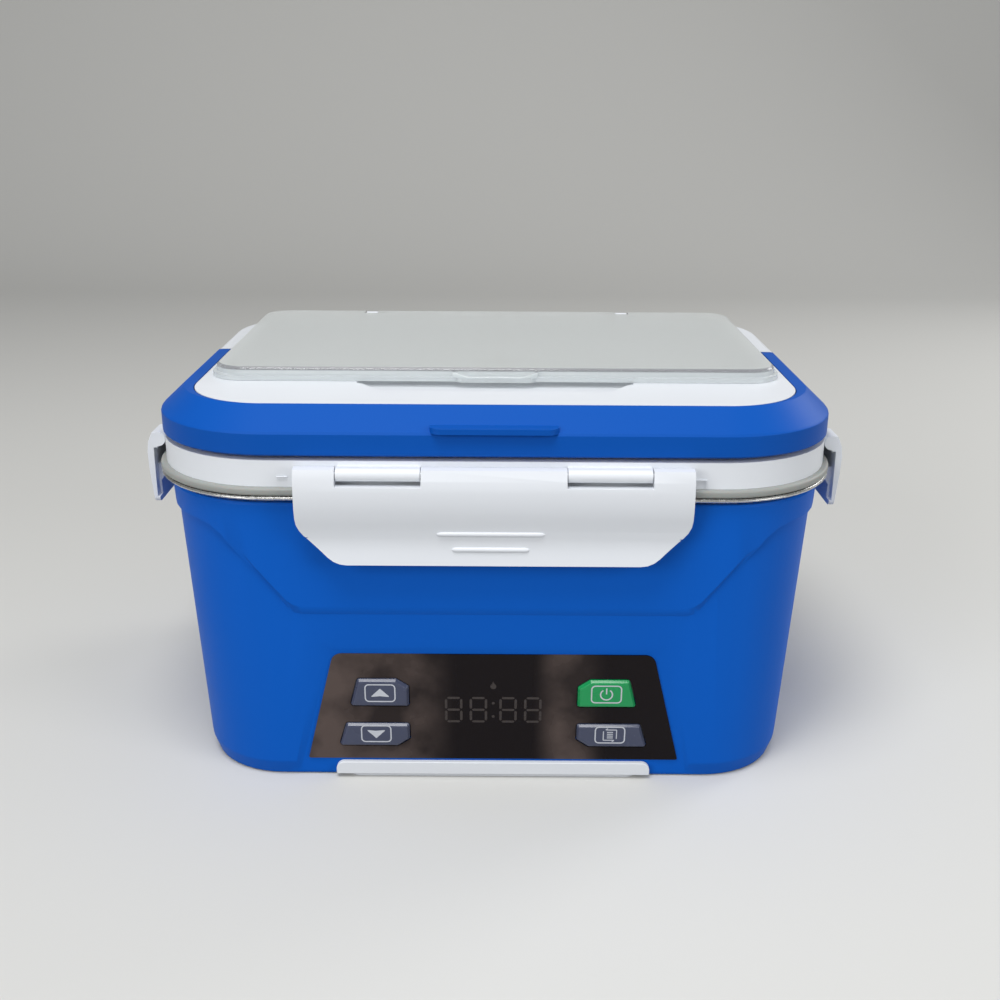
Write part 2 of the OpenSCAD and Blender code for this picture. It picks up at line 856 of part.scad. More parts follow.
// Trapezoid with round upper corners
module film_outline() {
    r = 4;
    tilt = atan2(film_half_low - film_half_top, film_h);
    mid_x = film_half_top - r * tan(45 - tilt / 2);
    arc = [for (a = [tilt:(90 - tilt) / 6:90.1]) [mid_x + r * cos(a), film_top - r + r * sin(a)]];
    polygon(concat([[film_half_low, film_low]], arc,
        [for (i = [len(arc) - 1:-1:0]) [-arc[i][0], arc[i][1]]], [[-film_half_low, film_low]]));
}

// Key cap: a face, a shaft through the panel and a flange behind it
module button(side, row) {
    color(row == 0 && side > 0 ? green : slate)
        mirror([side < 0 ? 1 : 0, 0, 0])
            on_panel(recess_depth + body_wall) {
                linear_extrude(body_wall + film_t + button_out - 0.5)
                    key_outline(row, 0.5);
                linear_extrude(body_wall + film_t + button_out)
                    key_outline(row, 0.5, -0.6);
                translate([0, 0, -key_flange - seat])
                    linear_extrude(key_flange)
                        key_outline(row, 0.5, 1.1);
                translate([0, 0, -seat - 0.1])
                    linear_extrude(seat + 0.2)
                        key_outline(row, 0.5, -0.8);
                translate([key_mid(row)[0], key_mid(row)[1], -key_flange - seat - key_post])
                    cylinder(h = key_post + 0.1, r = 1.8, $fn = round_fn);
            }
}

// Post behind each key, which stops short of its switch by the travel
key_flange = 1.2;
key_post = board_depth - body_wall - key_flange - seat - switch_h - button_travel - 0.1;

module button_up() { button(-1, 0); }
module button_down() { button(-1, 1); }
module button_power() { button(1, 0); }
module button_menu() { button(1, 1); }

// ---- Power inlet at the back ----

// Places a child on the leaning rear wall: y outwards, z up the wall
module at_inlet() {
    translate([0, wall_y(inlet_z), inlet_z])
        rotate([-lean_a, 0, 0])
            children();
}

inlet_rim_t = 1.4;
inlet_face = inlet_rim_t + 0.05;
socket_depth = 13;
contact_r = 1.2;
contact_x = 5.4;

module power_inlet() {
    hx = inlet_w / 2;
    hz = inlet_h / 2;
    color(black)
        at_inlet()
            difference() {
                union() {
                    box([-hx, inlet_face - socket_depth - 3, -hz], [hx, inlet_face, hz]);
                    box([-hx - 2, inlet_face - inlet_rim_t, -hz - 2], [hx + 2, inlet_face, hz + 2]);
                }
                translate([0, inlet_face + 1, 0])
                    rotate([90, 0, 0])
                        linear_extrude(socket_depth + 1) {
                            square([9, 9], center = true);
                            for (s = [-1, 1])
                                translate([s * 4.5, 0])
                                    circle(4.5, $fn = round_fn);
                        }
                contact_places()
                    cylinder(h = 20, r = contact_r + 0.02, $fn = round_fn);
            }
}

module contact_places() {
    for (s = [-1, 1])
        translate([s * contact_x, inlet_face - 3, 0])
            rotate([90, 0, 0])
                children();
}

module inlet_pins() {
    color(steel)
        at_inlet()
            contact_places()
                cylinder(h = socket_depth + 5, r = contact_r, $fn = round_fn);
}

// ---- Container ----

module inner_pot() {
    hx = pot_w / 2;
    hy = pot_d / 2;
    f = pot_fillet;
    steps = 4;
    in_rings = [for (i = [0:steps])
        let (a = 90 * i / steps, d = pot_lean + f * (1 - cos(a)))
        ring(hx - d, hy - d, pot_r - d, z_pot_floor + f - f * sin(a))];
    g = pot_t;
    out_rings = [for (i = [steps:-1:0])
        let (a = 90 * i / steps, d = pot_lean + f * (1 - cos(a)))
        ring(hx + g - d, hy + g - d, pot_r + g - d, z_pot_under + f - f * sin(a))];
    color(steel)
        loft(concat(out_rings, [
            ring(hx + g, hy + g, pot_r + g, z_mouth - 1),
            ring(hx + g, hy + g, pot_r + g, z_flange + 0.6),
            ring(flange_x - 2.4, flange_y - 2.4, flange_r - 2.4, z_flange + 0.6),
            ring(flange_x - 2.2, flange_y - 2.2, flange_r - 2.2, z_flange + 0.1),
            ring(flange_x - 0.6, flange_y - 0.6, flange_r - 0.6, z_flange),
            ring(flange_x, flange_y, flange_r, z_flange + flange_t / 2),
            ring(flange_x - 0.5, flange_y - 0.5, flange_r - 0.5, z_mouth),
            ring(hx + 1.2, hy + 1.2, pot_r + 1.2, z_mouth),
            ring(hx, hy, pot_r, z_mouth - 1.2)],
            in_rings));
}

// ---- Lid ----

module lid_mass() {
    loft([
        ring(lid_x - 0.5, lid_y - 0.5, lid_r - 0.5, z_ring),
        ring(lid_x - 0.5, lid_y - 0.5, lid_r - 0.5, z_bevel),
        ring(top_x, top_y, top_r, z_top - 0.4, top_cy),
        ring(top_x - 0.8, top_y - 0.8, top_r - 0.8, z_top, top_cy)]);
}

// Hollow that the handle folds into
module handle_hollow() {
    difference() {
        box([-lid_x - 5, -lid_y - 5, z_shelf], [lid_x + 5, pivot_y, z_top + 5]);
        raised_middle();
    }
    both_sides()
        rod_x(arm_end_r + 0.5, core_x, lid_x + 5, pivot_y, z_pivot);
}

module raised_middle() {
    slab(core_x, lid_y, core_r, z_ring, z_top + 6, lid_y - core_front);
}

lid_inner_t = 2;
z_inner = z_ring + 1.2;
inner_clear = 0.25;
cavity_x = lid_x - 8;
cavity_y = lid_y - 8;
cavity_r = lid_r - 8;

module lid_frame() {
    color(white)
        difference() {
            union() {
                difference() {
                    lid_mass();
                    handle_hollow();
                    slab(cavity_x, cavity_y, cavity_r, z_ring - 1, z_tray - lid_wall);
                }
                latch_places(lugs = true) latch_lug();
                cover_lugs();
            }
            tray_hollow();
            finger_scoop();
            groove(seal_bead_w / 2 + 0.1, z_ring - 1, z_ring + 3.1);
            latch_places(lugs = true)
                rod_x(latch_pin_r + 0.02, -lug_w / 2 - 2, lug_w / 2 + 2, -latch_out, z_latch);
            both_sides() {
                rod_x(pivot_pin_r + 0.02, core_x - 6, core_x + 1, pivot_y, z_pivot);
                rod_x(cover_pin_r + 0.02, cover_hinge_x - 6, cover_hinge_x + 6, cover_hinge_y, z_cover_hinge);
            }
            translate([0, vent_y, 0])
                cylinder(h = 200, r = vent_r, $fn = round_fn);
        }
}

// Tray below the clear cover
module tray_hollow() {
    slab(tray_x, (tray_front + tray_rear) / 2, 9, z_tray, z_top + 6, (tray_rear - tray_front) / 2);
}

// Scoop in front of the cover for a fingertip
module finger_scoop() {
    near = cover_front + 1.8;
    run = scoop_run - 1.8;
    back = tray_front;
    wide = scoop_w / 2;
    module half_outline() {
        polygon(concat([[0, 1 - back], [wide, 1 - back]],
            [for (t = [0:0.125:1]) [wide - 11 * t, -near - run * t * t * (3 - 2 * t)]],
            [[0, -near - run]]));
    }
    translate([0, 0, z_top - scoop_depth])
        linear_extrude(scoop_depth + 5) {
            half_outline();
            mirror([1, 0]) half_outline();
        }
}

// Square-bottomed groove or bead that runs round the ring's underside
seal_bead_w = 2.4;
seal_mid = 4;
module groove(half, z0, z1) {
    difference() {
        slab(lid_x - seal_mid + half, lid_y - seal_mid + half, lid_r - seal_mid + half, z0, z1);
        slab(lid_x - seal_mid - half, lid_y - seal_mid - half, lid_r - seal_mid - half, z0 - 1, z1 + 1);
    }
}

module lid_seal() {
    in_x = pot_w / 2 + 4;
    in_y = pot_d / 2 + 4;
    color(grey)
        union() {
            difference() {
                slab(flange_x, flange_y, flange_r, z_seal, z_ring - 0.02);
                slab(in_x, in_y, pot_r + 4, z_seal - 1, z_ring + 1);
            }
            groove(seal_bead_w / 2, z_ring - 0.1, z_ring + 2.9);
        }
}

module lid_inner_plate() {
    hx = cavity_x - inner_clear;
    hy = cavity_y - inner_clear;
    plug = 2;
    color(white)
        difference() {
            union() {
                slab(hx, hy, cavity_r - inner_clear, z_inner, z_inner + lid_inner_t);
                difference() {
                    slab(pot_w / 2 - plug, pot_d / 2 - plug, pot_r - plug, z_mouth - 2, z_inner + 0.1);
                    slab(pot_w / 2 - plug - 2, pot_d / 2 - plug - 2, pot_r - plug - 2,
                        z_mouth - 3, z_inner + 1);
                }
                translate([0, vent_y, z_inner])
                    cylinder(h = z_tray - lid_wall - z_inner - seat, r = vent_r + 3, $fn = round_fn);
            }
            translate([0, vent_y, 0])
                cylinder(h = 200, r = vent_r - 1.2, $fn = round_fn);
        }
}

vent_r = 5;
vent_y = 30;
vent_clear = 0.35;

// Silicone steam plug with a finger tab, seated in the tray's floor
module vent_plug() {
    color(grey)
        translate([0, vent_y, 0]) {
            translate([0, 0, z_tray - lid_wall + 0.1])
                cylinder(h = lid_wall + 0.1, r = vent_r - vent_clear, $fn = round_fn);
            translate([0, 0, z_tray + 0.15])
                cylinder(h = 2.2, r = vent_r + 3, $fn = round_fn);
            box([-1, -5, z_tray + 2], [1, 5, z_tray + 5.5]);
        }
}

// ---- Latches ----

// Places a child at each latch, with -Y outwards and the lid's edge at y = 0
module latch_at(side) {
    turn = [0, 180, 270, 90][side];
    out = side < 2 ? lid_y : lid_x;
    rotate([0, 0, turn])
        translate([0, -out, 0])
            children();
}

module latch_places(lugs = false) {
    for (side = [0:3])
        latch_at(side)
            for (s = lugs ? [-1, 1] : [0])
                translate([s * (side < 2 ? lug_long_x : lug_short_x), 0, 0])
                    children();
}

// Lug flush with the latch's roll, cut flat below so that a slit shows under it
module latch_lug() {
    w = lug_w / 2;
    intersection() {
        union() {
            rod_x(lug_r, -w, w, -latch_out, z_latch);
            box([-w, -latch_out, z_latch - lug_under], [w, 1, z_latch + lug_r * 0.9]);
        }
        box([-w, -latch_out - lug_r, z_latch - lug_under], [w, 1, z_latch + lug_r]);
    }
}

// Profile of a latch as [outwards, up], swept along its length. The face curves in
// below the pivot and flares out again at the lower edge.
module latch_profile(side) {
    t = latch_t;
    f = latch_face;
    z = z_latch;
    tail = side < 2 ? [[f - 2, z - 19], [f - 2.6, z - 23], [f - 2.5, z - 26.5], [f - 1.8, z - latch_drop]]
        : [[f - 0.7, z - 17], [f - 1.3, z - side_drop]];
    n = len(tail) - 1;
    back = [for (i = [n:-1:0]) tail[i] - [i == n ? t - 0.4 : t, 0]];
    polygon(concat([[latch_out, z + roll_r], [latch_out + roll_r * 0.8, z + roll_r * 0.85],
        [f - 0.5, z - 1.2], [f, z - 5], [f - 0.2, z - 11.5]], tail, back, [
        [hook_in, hook_top - 0.5], [hook_in, hook_top], [f - t, hook_top],
        [f - t, z - 5], [latch_out, z - roll_r * 0.9]]));
}

// What is cut from a latch's lower corner: a chamfer with a round at each end
module latch_corner_cut(c, r) {
    run = r * tan(22.5);
    polygon(concat([[1, -1], [1, c + run]],
        [for (a = [0:-15:-45]) [r * (cos(a) - 1), c + run + r * sin(a)]],
        [for (a = [-45:-15:-90]) [r * cos(a) - c - run, r * (1 + sin(a))]],
        [[-c - run, -1]]));
}

module latch(side) {
    long = side < 2 ? latch_long : latch_short;
    lug_x = side < 2 ? lug_long_x : lug_short_x;
    half = long / 2;
    low = z_latch - (side < 2 ? latch_drop : side_drop);
    gap = lug_w / 2 + lug_clear;
    color(white)
        latch_at(side)
            difference() {
                union() {
                    translate([-half, 0, 0])
                        rotate([90, 0, 90])
                            linear_extrude(long)
                                mirror([1, 0]) latch_profile(side);
                    rod_x(roll_r, -half, half, -latch_out, z_latch);
                }
                rod_x(latch_pin_r + pin_clear, -half + 1.2, half - 1.2, -latch_out, z_latch);
                for (s = [-1, 1]) {
                    translate([s * lug_x, 0, 0])
                        box([-gap, -latch_face - 2, z_latch - lug_under - slit_h],
                            [gap, 2, z_latch + roll_r + 1]);
                    translate([s * half, 5, low])
                        rotate([90, 0, 0])
                            linear_extrude(20)
                                mirror([s < 0 ? 1 : 0, 0])
                                    latch_corner_cut(side < 2 ? latch_corner : 1, side < 2 ? 9 : 1.5);
                    translate([s * half, 0, 0])
                        box([s > 0 ? -hook_end : -1, -latch_face + latch_t, z_latch - 22],
                            [s > 0 ? 1 : hook_end, 6, z_latch - roll_r - 0.5]);
                }
            }
}

// The hook stops short of the latch's ends
hook_end = 4;

module latch_front() { latch(0); }
module latch_rear() { latch(1); }
module latch_left() { latch(2); }
module latch_right() { latch(3); }

module latch_pins() {
    color(steel)
        for (side = [0:3])
            latch_at(side) {
                half = (side < 2 ? latch_long : latch_short) / 2 - 2;
                rod_x(latch_pin_r, -half, half, -latch_out, z_latch);
            }
}

// ---- Handle ----

module carry_handle() {
    color(blue)
        difference() {
            union() {
                difference() {
                    intersection() {
                        loft([
                            ring(lid_x - 0.6, lid_y - 0.6, lid_r - 0.6, z_handle),
                            ring(lid_x, lid_y, lid_r, z_handle + 0.6),
                            ring(lid_x, lid_y, lid_r, z_bevel - 0.5),
                            ring(lid_x - 0.5, lid_y - 0.5, lid_r - 0.5, z_bevel + 0.3),
                            ring(top_x, top_y, top_r, z_top, top_cy)]);
                        union() {
                            box([-lid_x - 5, -lid_y - 5, z_handle - 1], [lid_x + 5, pivot_y, z_top + 5]);
                            rod_x(arm_end_r, -lid_x - 5, lid_x + 5, pivot_y, z_pivot);
                        }
                    }
                    slab(arm_in_x, lid_y, core_r + handle_clear, z_handle - 1, z_top + 6,
                        lid_y - core_front - handle_clear);
                }
                slab(lip_w / 2, 4, 3.9, z_bevel + 0.2, z_bevel + 2.2, 4 - lid_y - lip_out);
            }
            both_sides()
                rod_x(pivot_pin_r + pin_clear, arm_in_x - 1, core_x - 6 + pivot_pin_len + 0.3,
                    pivot_y, z_pivot);
        }
}

module handle_pins() {
    color(steel)
        both_sides()
            rod_x(pivot_pin_r, core_x - 6 + 0.2, core_x - 6 + pivot_pin_len, pivot_y, z_pivot);
}

// ---- Clear cover ----

cover_lug_w = 5;

module cover_lugs() {
    both_sides() {
        rod_x(barrel_r - 0.2, cover_hinge_x - cover_lug_w / 2, cover_hinge_x + cover_lug_w / 2,
            cover_hinge_y, z_cover_hinge);
        box([cover_hinge_x - cover_lug_w / 2, cover_hinge_y - 1.5, z_top - 2],
            [cover_hinge_x + cover_lug_w / 2, cover_hinge_y + 1.5, z_cover_hinge]);
    }
}

module top_cover() {
    hx = cover_w / 2;
    hy = cover_d / 2;
    r = cover_r;
    t = cover_t;
    z0 = z_cover;
    z1 = z_cover + cover_h;
    color([0.82, 0.84, 0.85, 0.7])
        difference() {
            union() {
                intersection() {
                    loft([
                        ring(hx, hy, r, z0, cover_cy),
                        ring(hx, hy, r, z0 + 1.6, cover_cy),
                        ring(hx - 1.4, hy - 1.4, r - 1.2, z0 + 1.8, cover_cy),
                        ring(hx - 1.6, hy - 1.6, r - 1.4, z1 - 0.9, cover_cy),
                        ring(hx - 2.6, hy - 2.6, r - 2.4, z1, cover_cy),
                        ring(hx - 6, hy - 6, r - 4, z1, cover_cy)]);
                    box([-lid_x, -lid_y, z_top], [lid_x, cover_hinge_y, z_top + 20]);
                    slab(hx, hy + 10, cover_rear_r, z0 - 1, z1 + 1, cover_cy - 10);
                }
                rod_x(barrel_r, cover_rear_r - hx, hx - cover_rear_r, cover_hinge_y, z_cover_hinge);
                slab(14.5, 3, 2.6, z0, z0 + 1.6, -cover_front + 1.4);
            }
            loft([
                ring(hx - 1.6 - t, hy - 1.6 - t, r - 3, z0 - 1, cover_cy - 1.5),
                ring(hx - 1.6 - t, hy - 1.6 - t, r - 3, z1 - t - 0.8, cover_cy - 1.5),
                ring(hx - 2.4 - t, hy - 2.4 - t, r - 3.8, z1 - t, cover_cy - 1.5)]);
            both_sides() {
                box([cover_hinge_x - cover_lug_w / 2 - 0.4, cover_hinge_y - 5, z_top - 1],
                    [cover_hinge_x + cover_lug_w / 2 + 0.4, cover_hinge_y + 5, z_top + 20]);
                rod_x(cover_pin_r + pin_clear, cover_hinge_x - 7, cover_hinge_x + 7,
                    cover_hinge_y, z_cover_hinge);
            }
        }
}

module cover_pins() {
    color(steel)
        both_sides()
            rod_x(cover_pin_r, cover_hinge_x - 6, cover_hinge_x + 6, cover_hinge_y, z_cover_hinge);
}

body_shell();
base_plate();
base_screws();
foot_bar_front();
foot_bar_rear();
inner_liner();
liner_screws();
heating_plate();
ptc_heater();
heater_clamp();
thermostat();
thermal_fuse();
heat_shield();
battery_tray();
battery_cells();
battery_links();
power_board();
control_board();
board_screws();
display_module();
key_switches();
control_film();
button_up();
button_down();
button_power();
button_menu();
power_inlet();
inlet_pins();
inner_pot();
lid_frame();
lid_inner_plate();
lid_seal();
latch_pins();
handle_pins();
cover_pins();
vent_plug();
carry_handle();
top_cover();
latch_front();
latch_rear();
latch_left();
latch_right();
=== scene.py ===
"""Electric lunch box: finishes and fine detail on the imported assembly."""

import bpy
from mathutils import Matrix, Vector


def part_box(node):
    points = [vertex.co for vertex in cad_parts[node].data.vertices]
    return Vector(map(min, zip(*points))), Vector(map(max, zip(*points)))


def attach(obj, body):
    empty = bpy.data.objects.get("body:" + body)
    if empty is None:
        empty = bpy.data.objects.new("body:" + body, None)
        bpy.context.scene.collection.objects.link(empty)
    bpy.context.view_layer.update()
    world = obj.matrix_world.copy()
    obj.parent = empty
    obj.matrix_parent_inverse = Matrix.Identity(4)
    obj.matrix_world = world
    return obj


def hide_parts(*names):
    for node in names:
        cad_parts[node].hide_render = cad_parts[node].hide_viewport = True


bl_info = {
    "name": "Electric lunch box",
    "version": (1, 0, 0),
    "blender": (4, 5, 0),
    "location": "View3D > Sidebar > Lunch box",
    "description": "Dresses the packed lunch box with its finishes and fine detail",
    "category": "Object",
}

import math

import bmesh
import bpy
from mathutils import Matrix, Vector

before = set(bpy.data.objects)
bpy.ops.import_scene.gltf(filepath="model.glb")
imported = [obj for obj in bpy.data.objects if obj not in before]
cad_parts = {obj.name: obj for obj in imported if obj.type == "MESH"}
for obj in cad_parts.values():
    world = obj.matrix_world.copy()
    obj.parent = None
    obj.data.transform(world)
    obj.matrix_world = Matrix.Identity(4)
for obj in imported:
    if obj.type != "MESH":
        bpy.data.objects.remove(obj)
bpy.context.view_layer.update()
MM = 0.001

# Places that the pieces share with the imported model, in millimetres.
# The control panel leans with the front wall, which passes through this line and leans
# 6 mm over a rise of 108.8 mm.
WALL_Y = -80.0
WALL_Z = 1.2
WALL_LEAN = math.atan2(6.0, 108.8)
# Heights up the wall and half widths of the film, and distances out of the wall.
FILM_LOW, FILM_HIGH = 6.2, 50.2
FILM_HALF_LOW, FILM_HALF_HIGH = 68.3, 57.5
FILM_FACE = -0.68
FILM_THICK = 0.48
PRINT_LOW, PRINT_HIGH = 0.005, 0.04
# The keys: where they start beside the clock, their corners, their faces and their feet.
KEY_INNER = 30.6
KEY_CORNER = 0.9
KEY_FACE = 0.6
KEY_FOOT = -3.4
# The upper and the lower row: lower edge, upper edge and outer end half way up.
KEY_ROWS = ((28.8, 40.1, 50.5), (11.9, 21.5, 55.1))
# Half sizes of the lid's ring.
RING_SIDE, RING_FACE = 120.0, 88.0


# ---- colours ----


def linear(colour):
    """Linear red, green, blue of an sRGB hex colour."""
    parts = [int(colour[i:i + 2], 16) / 255 for i in (1, 3, 5)]
    return [c / 12.92 if c <= 0.04045 else ((c + 0.055) / 1.055) ** 2.4 for c in parts]


def paint(label, words, colour):
    """A colour that the user can change."""
    return bpy.props.FloatVectorProperty(
        name=label, description=words, subtype="COLOR", size=3, min=0.0, max=1.0,
        default=linear(colour))


def length(label, words, mm, low=0.0, high=100.0):
    """A size that the user can change, in metres."""
    return bpy.props.FloatProperty(
        name=label, description=words, subtype="DISTANCE", unit="LENGTH",
        default=mm * MM, min=low * MM, max=high * MM)


class LunchBoxColours(bpy.types.PropertyGroup):
    """Colours of the mouldings, the film and the keys"""
    shell: paint("Shell", "Blue of the body", "#055EC7")
    # Painted shade: the handle's blue is the shell's blue made darker, for the lower light on its front
    # band.
    handle: paint("Handle", "Slightly deeper blue of the handle", "#0451AE")
    lid: paint("Lid", "White of the lid, the latches and the foot bars", "#E4E8EE")
    inside: paint("Inside", "White of the liner and the inner lid", "#D9DAD8")
    cover: paint("Cover", "Tint of the frosted cover", "#E2E5E3")
    silicone: paint("Silicone", "Grey of the seal and the steam plug", "#979A97")
    film: paint("Film", "Black of the printed film", "#110A0D")
    keys: paint("Keys", "Slate of three keys", "#40465E")
    power_key: paint("Power key", "Green of the power key", "#029652")
    print_ink: paint("Print", "Pale grey of the signs on the keys", "#C9CDD6")
    dark_ink: paint("Unlit segments", "Grey of the display's unlit segments", "#322A28")


class LunchBoxSizes(bpy.types.PropertyGroup):
    """Sizes of the fine detail"""
    edge: length("Softened edge", "Radius left on the edges of the mouldings", 0.5, 0.05, 1.0)
    key_dome: length("Key bevel", "Width of the bevel round the keys' faces", 1.7, 0.2, 2.0)
    digit_height: length("Digit height", "Height of the clock's digits", 10.8, 6.0, 14.0)
    digit_width: length("Digit width", "Width of one digit", 6.4, 3.0, 8.0)
    digit_line: length("Segment width", "Width of one segment", 0.9, 0.3, 1.5)
    sign_line: length("Sign line", "Width of the lines of the keys' signs", 0.45, 0.2, 0.8)
    ridge_length: length("Ridge length", "Length of the upper ridge on a long latch", 36.8, 10.0, 60.0)
    ridge_radius: length("Ridge radius", "Radius of a ridge on a long latch", 0.9, 0.2, 1.0)
    ridge_gap: length("Ridge spacing", "Distance between the two ridges", 5.7, 3.0, 9.0)
    seal_lip: length("Seal lip", "Rounding of the seal's outer edge", 0.9, 0.2, 1.3)


# ---- mesh helpers ----


def link(name, data):
    """An object in the scene that holds a mesh, a light or a camera."""
    obj = bpy.data.objects.new(name, data)
    bpy.context.scene.collection.objects.link(obj)
    return obj


def fill(mesh, bm, smooth_angle=35):
    """Moves a bmesh into a mesh, shaded smooth up to an angle between faces."""
    for face in bm.faces:
        face.smooth = True
    bm.to_mesh(mesh)
    bm.free()
    mesh.set_sharp_from_angle(angle=math.radians(smooth_angle))


def from_bmesh(name, bm, smooth_angle):
    """An object from a bmesh."""
    mesh = bpy.data.meshes.new(name)
    fill(mesh, bm, smooth_angle)
    return link(name, mesh)


def add_modifier(obj, name, kind, **settings):
    """A modifier with its settings."""
    modifier = obj.modifiers.new(name, kind)
    for key, value in settings.items():
        setattr(modifier, key, value)
    return modifier


def bake(obj):
    """The modifiers' result becomes the plain mesh of the object."""
    deps = bpy.context.evaluated_depsgraph_get()
    mesh = bpy.data.meshes.new_from_object(obj.evaluated_get(deps), depsgraph=deps)
    obj.modifiers.clear()
    old = obj.data
    obj.data = mesh
    mesh.name = old.name
    bpy.data.meshes.remove(old)


def softened(node, name, width, angle=28, segments=2, spared=None, shortest=0.0):
    """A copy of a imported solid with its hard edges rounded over, as a mould leaves them.
    Edges whose middle, in millimetres, the spared test picks stay sharp. So do those that
    meet an edge below the shortest length, which would hold every other edge back."""
    same_place, same_plane = 0.002 * MM, math.radians(0.4)
    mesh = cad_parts[node].data.copy()
    mesh.materials.clear()
    bm = bmesh.new()
    bm.from_mesh(mesh)
    bmesh.ops.remove_doubles(bm, verts=bm.verts, dist=same_place)
    bmesh.ops.dissolve_limit(bm, angle_limit=same_plane, verts=bm.verts, edges=bm.edges)
    weight = bm.edges.layers.float.new("bevel_weight_edge")
    for edge in bm.edges:
        if len(edge.link_faces) == 2 and edge.calc_face_angle(0) > math.radians(angle):
            centre = (edge.verts[0].co + edge.verts[1].co) / 2 / MM
            least = min(near.calc_length() for vert in edge.verts for near in vert.link_edges)
            sharp = least < shortest * MM or (spared and spared(centre))
            edge[weight] = 0.0 if sharp else 1.0
    bpy.data.meshes.remove(mesh)
    obj = from_bmesh(name, bm, angle)
    add_modifier(obj, "Softened edges", "BEVEL", width=width, segments=segments,
                 limit_method="WEIGHT", miter_outer="MITER_ARC")
    add_modifier(obj, "Face weights", "WEIGHTED_NORMAL", keep_sharp=True)
    bake(obj)
    return obj


def finish(obj, look, body, slot, *nodes):
    """Gives a piece its finish, its body and the solids it stands for. Its record slot is not used."""
    obj.data.materials.clear()
    obj.data.materials.append(material(look))
    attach(obj, body)
    if nodes:
        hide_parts(*nodes)


def build(name, bm, smooth_angle, look, body, slot, *nodes):
    """Adds a piece made of closed shapes, with its faces turned outwards."""
    bmesh.ops.recalc_face_normals(bm, faces=bm.faces)
    finish(from_bmesh(name, bm, smooth_angle), look, body, slot, *nodes)


def dress(node, name, look, body, slot, share=1.0, **edges):
    """Puts a softened copy, with its finish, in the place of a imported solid. Its edges get
    a share of the radius that the user sets."""
    finish(softened(node, name, sizes().edge * share, **edges), look, body, slot, node)


def coat(look, *nodes):
    """Gives carried-over solids their finish."""
    for name in nodes:
        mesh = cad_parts[name].data
        mesh.materials.clear()
        mesh.materials.append(material(look))


def on_panel(x, up, out):
    """Point on the leaning front wall, in metres: right, up the wall and out of it."""
    c, s = math.cos(WALL_LEAN), math.sin(WALL_LEAN)
    return Vector((x, WALL_Y - s * up - c * out, WALL_Z + c * up - s * out)) * MM


def round_corners(points, radii, steps=5):
    """The outline with each corner rounded by its radius, all in millimetres."""
    out = []
    count = len(points)
    for i, corner in enumerate(points):
        here = Vector(corner)
        before = (Vector(points[i - 1]) - here).normalized()
        after = (Vector(points[(i + 1) % count]) - here).normalized()
        half = before.angle(after) / 2
        reach = radii[i] / math.tan(half)
        middle = here + (before + after).normalized() * (radii[i] / math.sin(half))
        start, end = here + before * reach - middle, here + after * reach - middle
        turn = start.angle_signed(end)
        for k in range(steps + 1):
            out.append(middle + Matrix.Rotation(-turn * k / steps, 2) @ start)
    return out


def inset(points, by):
    """The outline moved inwards by a distance. Points run anticlockwise. At a sharp corner
    the move is held to a limit, so that its point doesn't run away."""
    same_place, sharpest = 1e-6, 0.3
    out = []
    for i, point in enumerate(points):
        before = point - points[i - 1]
        after = points[(i + 1) % len(points)] - point
        if before.length < same_place or after.length < same_place:
            out.append(point.copy())
            continue
        inwards = Vector((-before.y, before.x)).normalized()
        turned = Vector((-after.y, after.x)).normalized()
        way = (inwards + turned).normalized()
        out.append(point + way * (by / max(sharpest, way.dot(inwards))))
    return out


def circle(x, y, radius, count):
    """Points of a circle, anticlockwise."""
    turns = [2 * math.pi * k / count for k in range(count)]
    return [Vector((x + radius * math.cos(t), y + radius * math.sin(t))) for t in turns]


def stroke(start, end, width):
    """Start and end of a straight stroke, its direction, and half its width across it."""
    start, end = Vector(start), Vector(end)
    along = (end - start).normalized()
    return start, end, along, Vector((-along.y, along.x)) * width / 2


def level(outline, out):
    """The outline laid over the front wall, at a distance out of it."""
    return [on_panel(p.x, p.y, out) for p in outline]


def skin(bm, rings, closed=False):
    """Joins rings of points with faces. Closed, the last ring meets the first. Else both
    are capped."""
    rows = [[bm.verts.new(p) for p in ring] for ring in rings]
    count = len(rows[0])
    for low, high in zip(rows, rows[1:] + (rows[:1] if closed else [])):
        for i in range(count):
            after = (i + 1) % count
            bm.faces.new((low[i], low[after], high[after], high[i]))
    if not closed:
        bm.faces.new(rows[0][::-1])
        bm.faces.new(rows[-1])


def thin_print(bm, outline, out):
    """A printed shape on the panel, as a very thin raised layer."""
    skin(bm, [level(outline, out + PRINT_LOW), level(outline, out + PRINT_HIGH)])


# ---- node-tree helpers ----


def add(tree, kind, inputs=None, **settings):
    """A node with its settings. Each of its inputs is set to a value, or linked to a socket
    or to the first output of another node. A colour is made opaque."""
    node = tree.nodes.new(kind)
    for key, value in settings.items():
        setattr(node, key, value)
    for key, value in (inputs or {}).items():
        if isinstance(value, bpy.types.Node):
            value = value.outputs[0]
        if isinstance(value, bpy.types.NodeSocket):
            tree.links.new(value, node.inputs[key])
        elif node.inputs[key].type == "RGBA":
            node.inputs[key].default_value = [*value, 1]
        else:
            node.inputs[key].default_value = value
    return node


def new_material(name):
    """An empty material and its node tree."""
    mat = bpy.data.materials.new(name)
    mat.use_nodes = True
    mat.node_tree.nodes.clear()
    return mat, mat.node_tree


def shade(tree, colour, roughness, height, height_mm, **uniform):
    """The Principled surface, with a bump from a height in millimetres."""
    bump = add(tree, "ShaderNodeBump", {"Height": height, "Distance": height_mm * MM})
    surface = add(tree, "ShaderNodeBsdfPrincipled", {
        "Base Color": colour, "Roughness": roughness, "Normal": bump})
    for key, value in uniform.items():
        surface.inputs[key.replace("_", " ")].default_value = value
    add(tree, "ShaderNodeOutputMaterial", {"Surface": surface})
    return surface


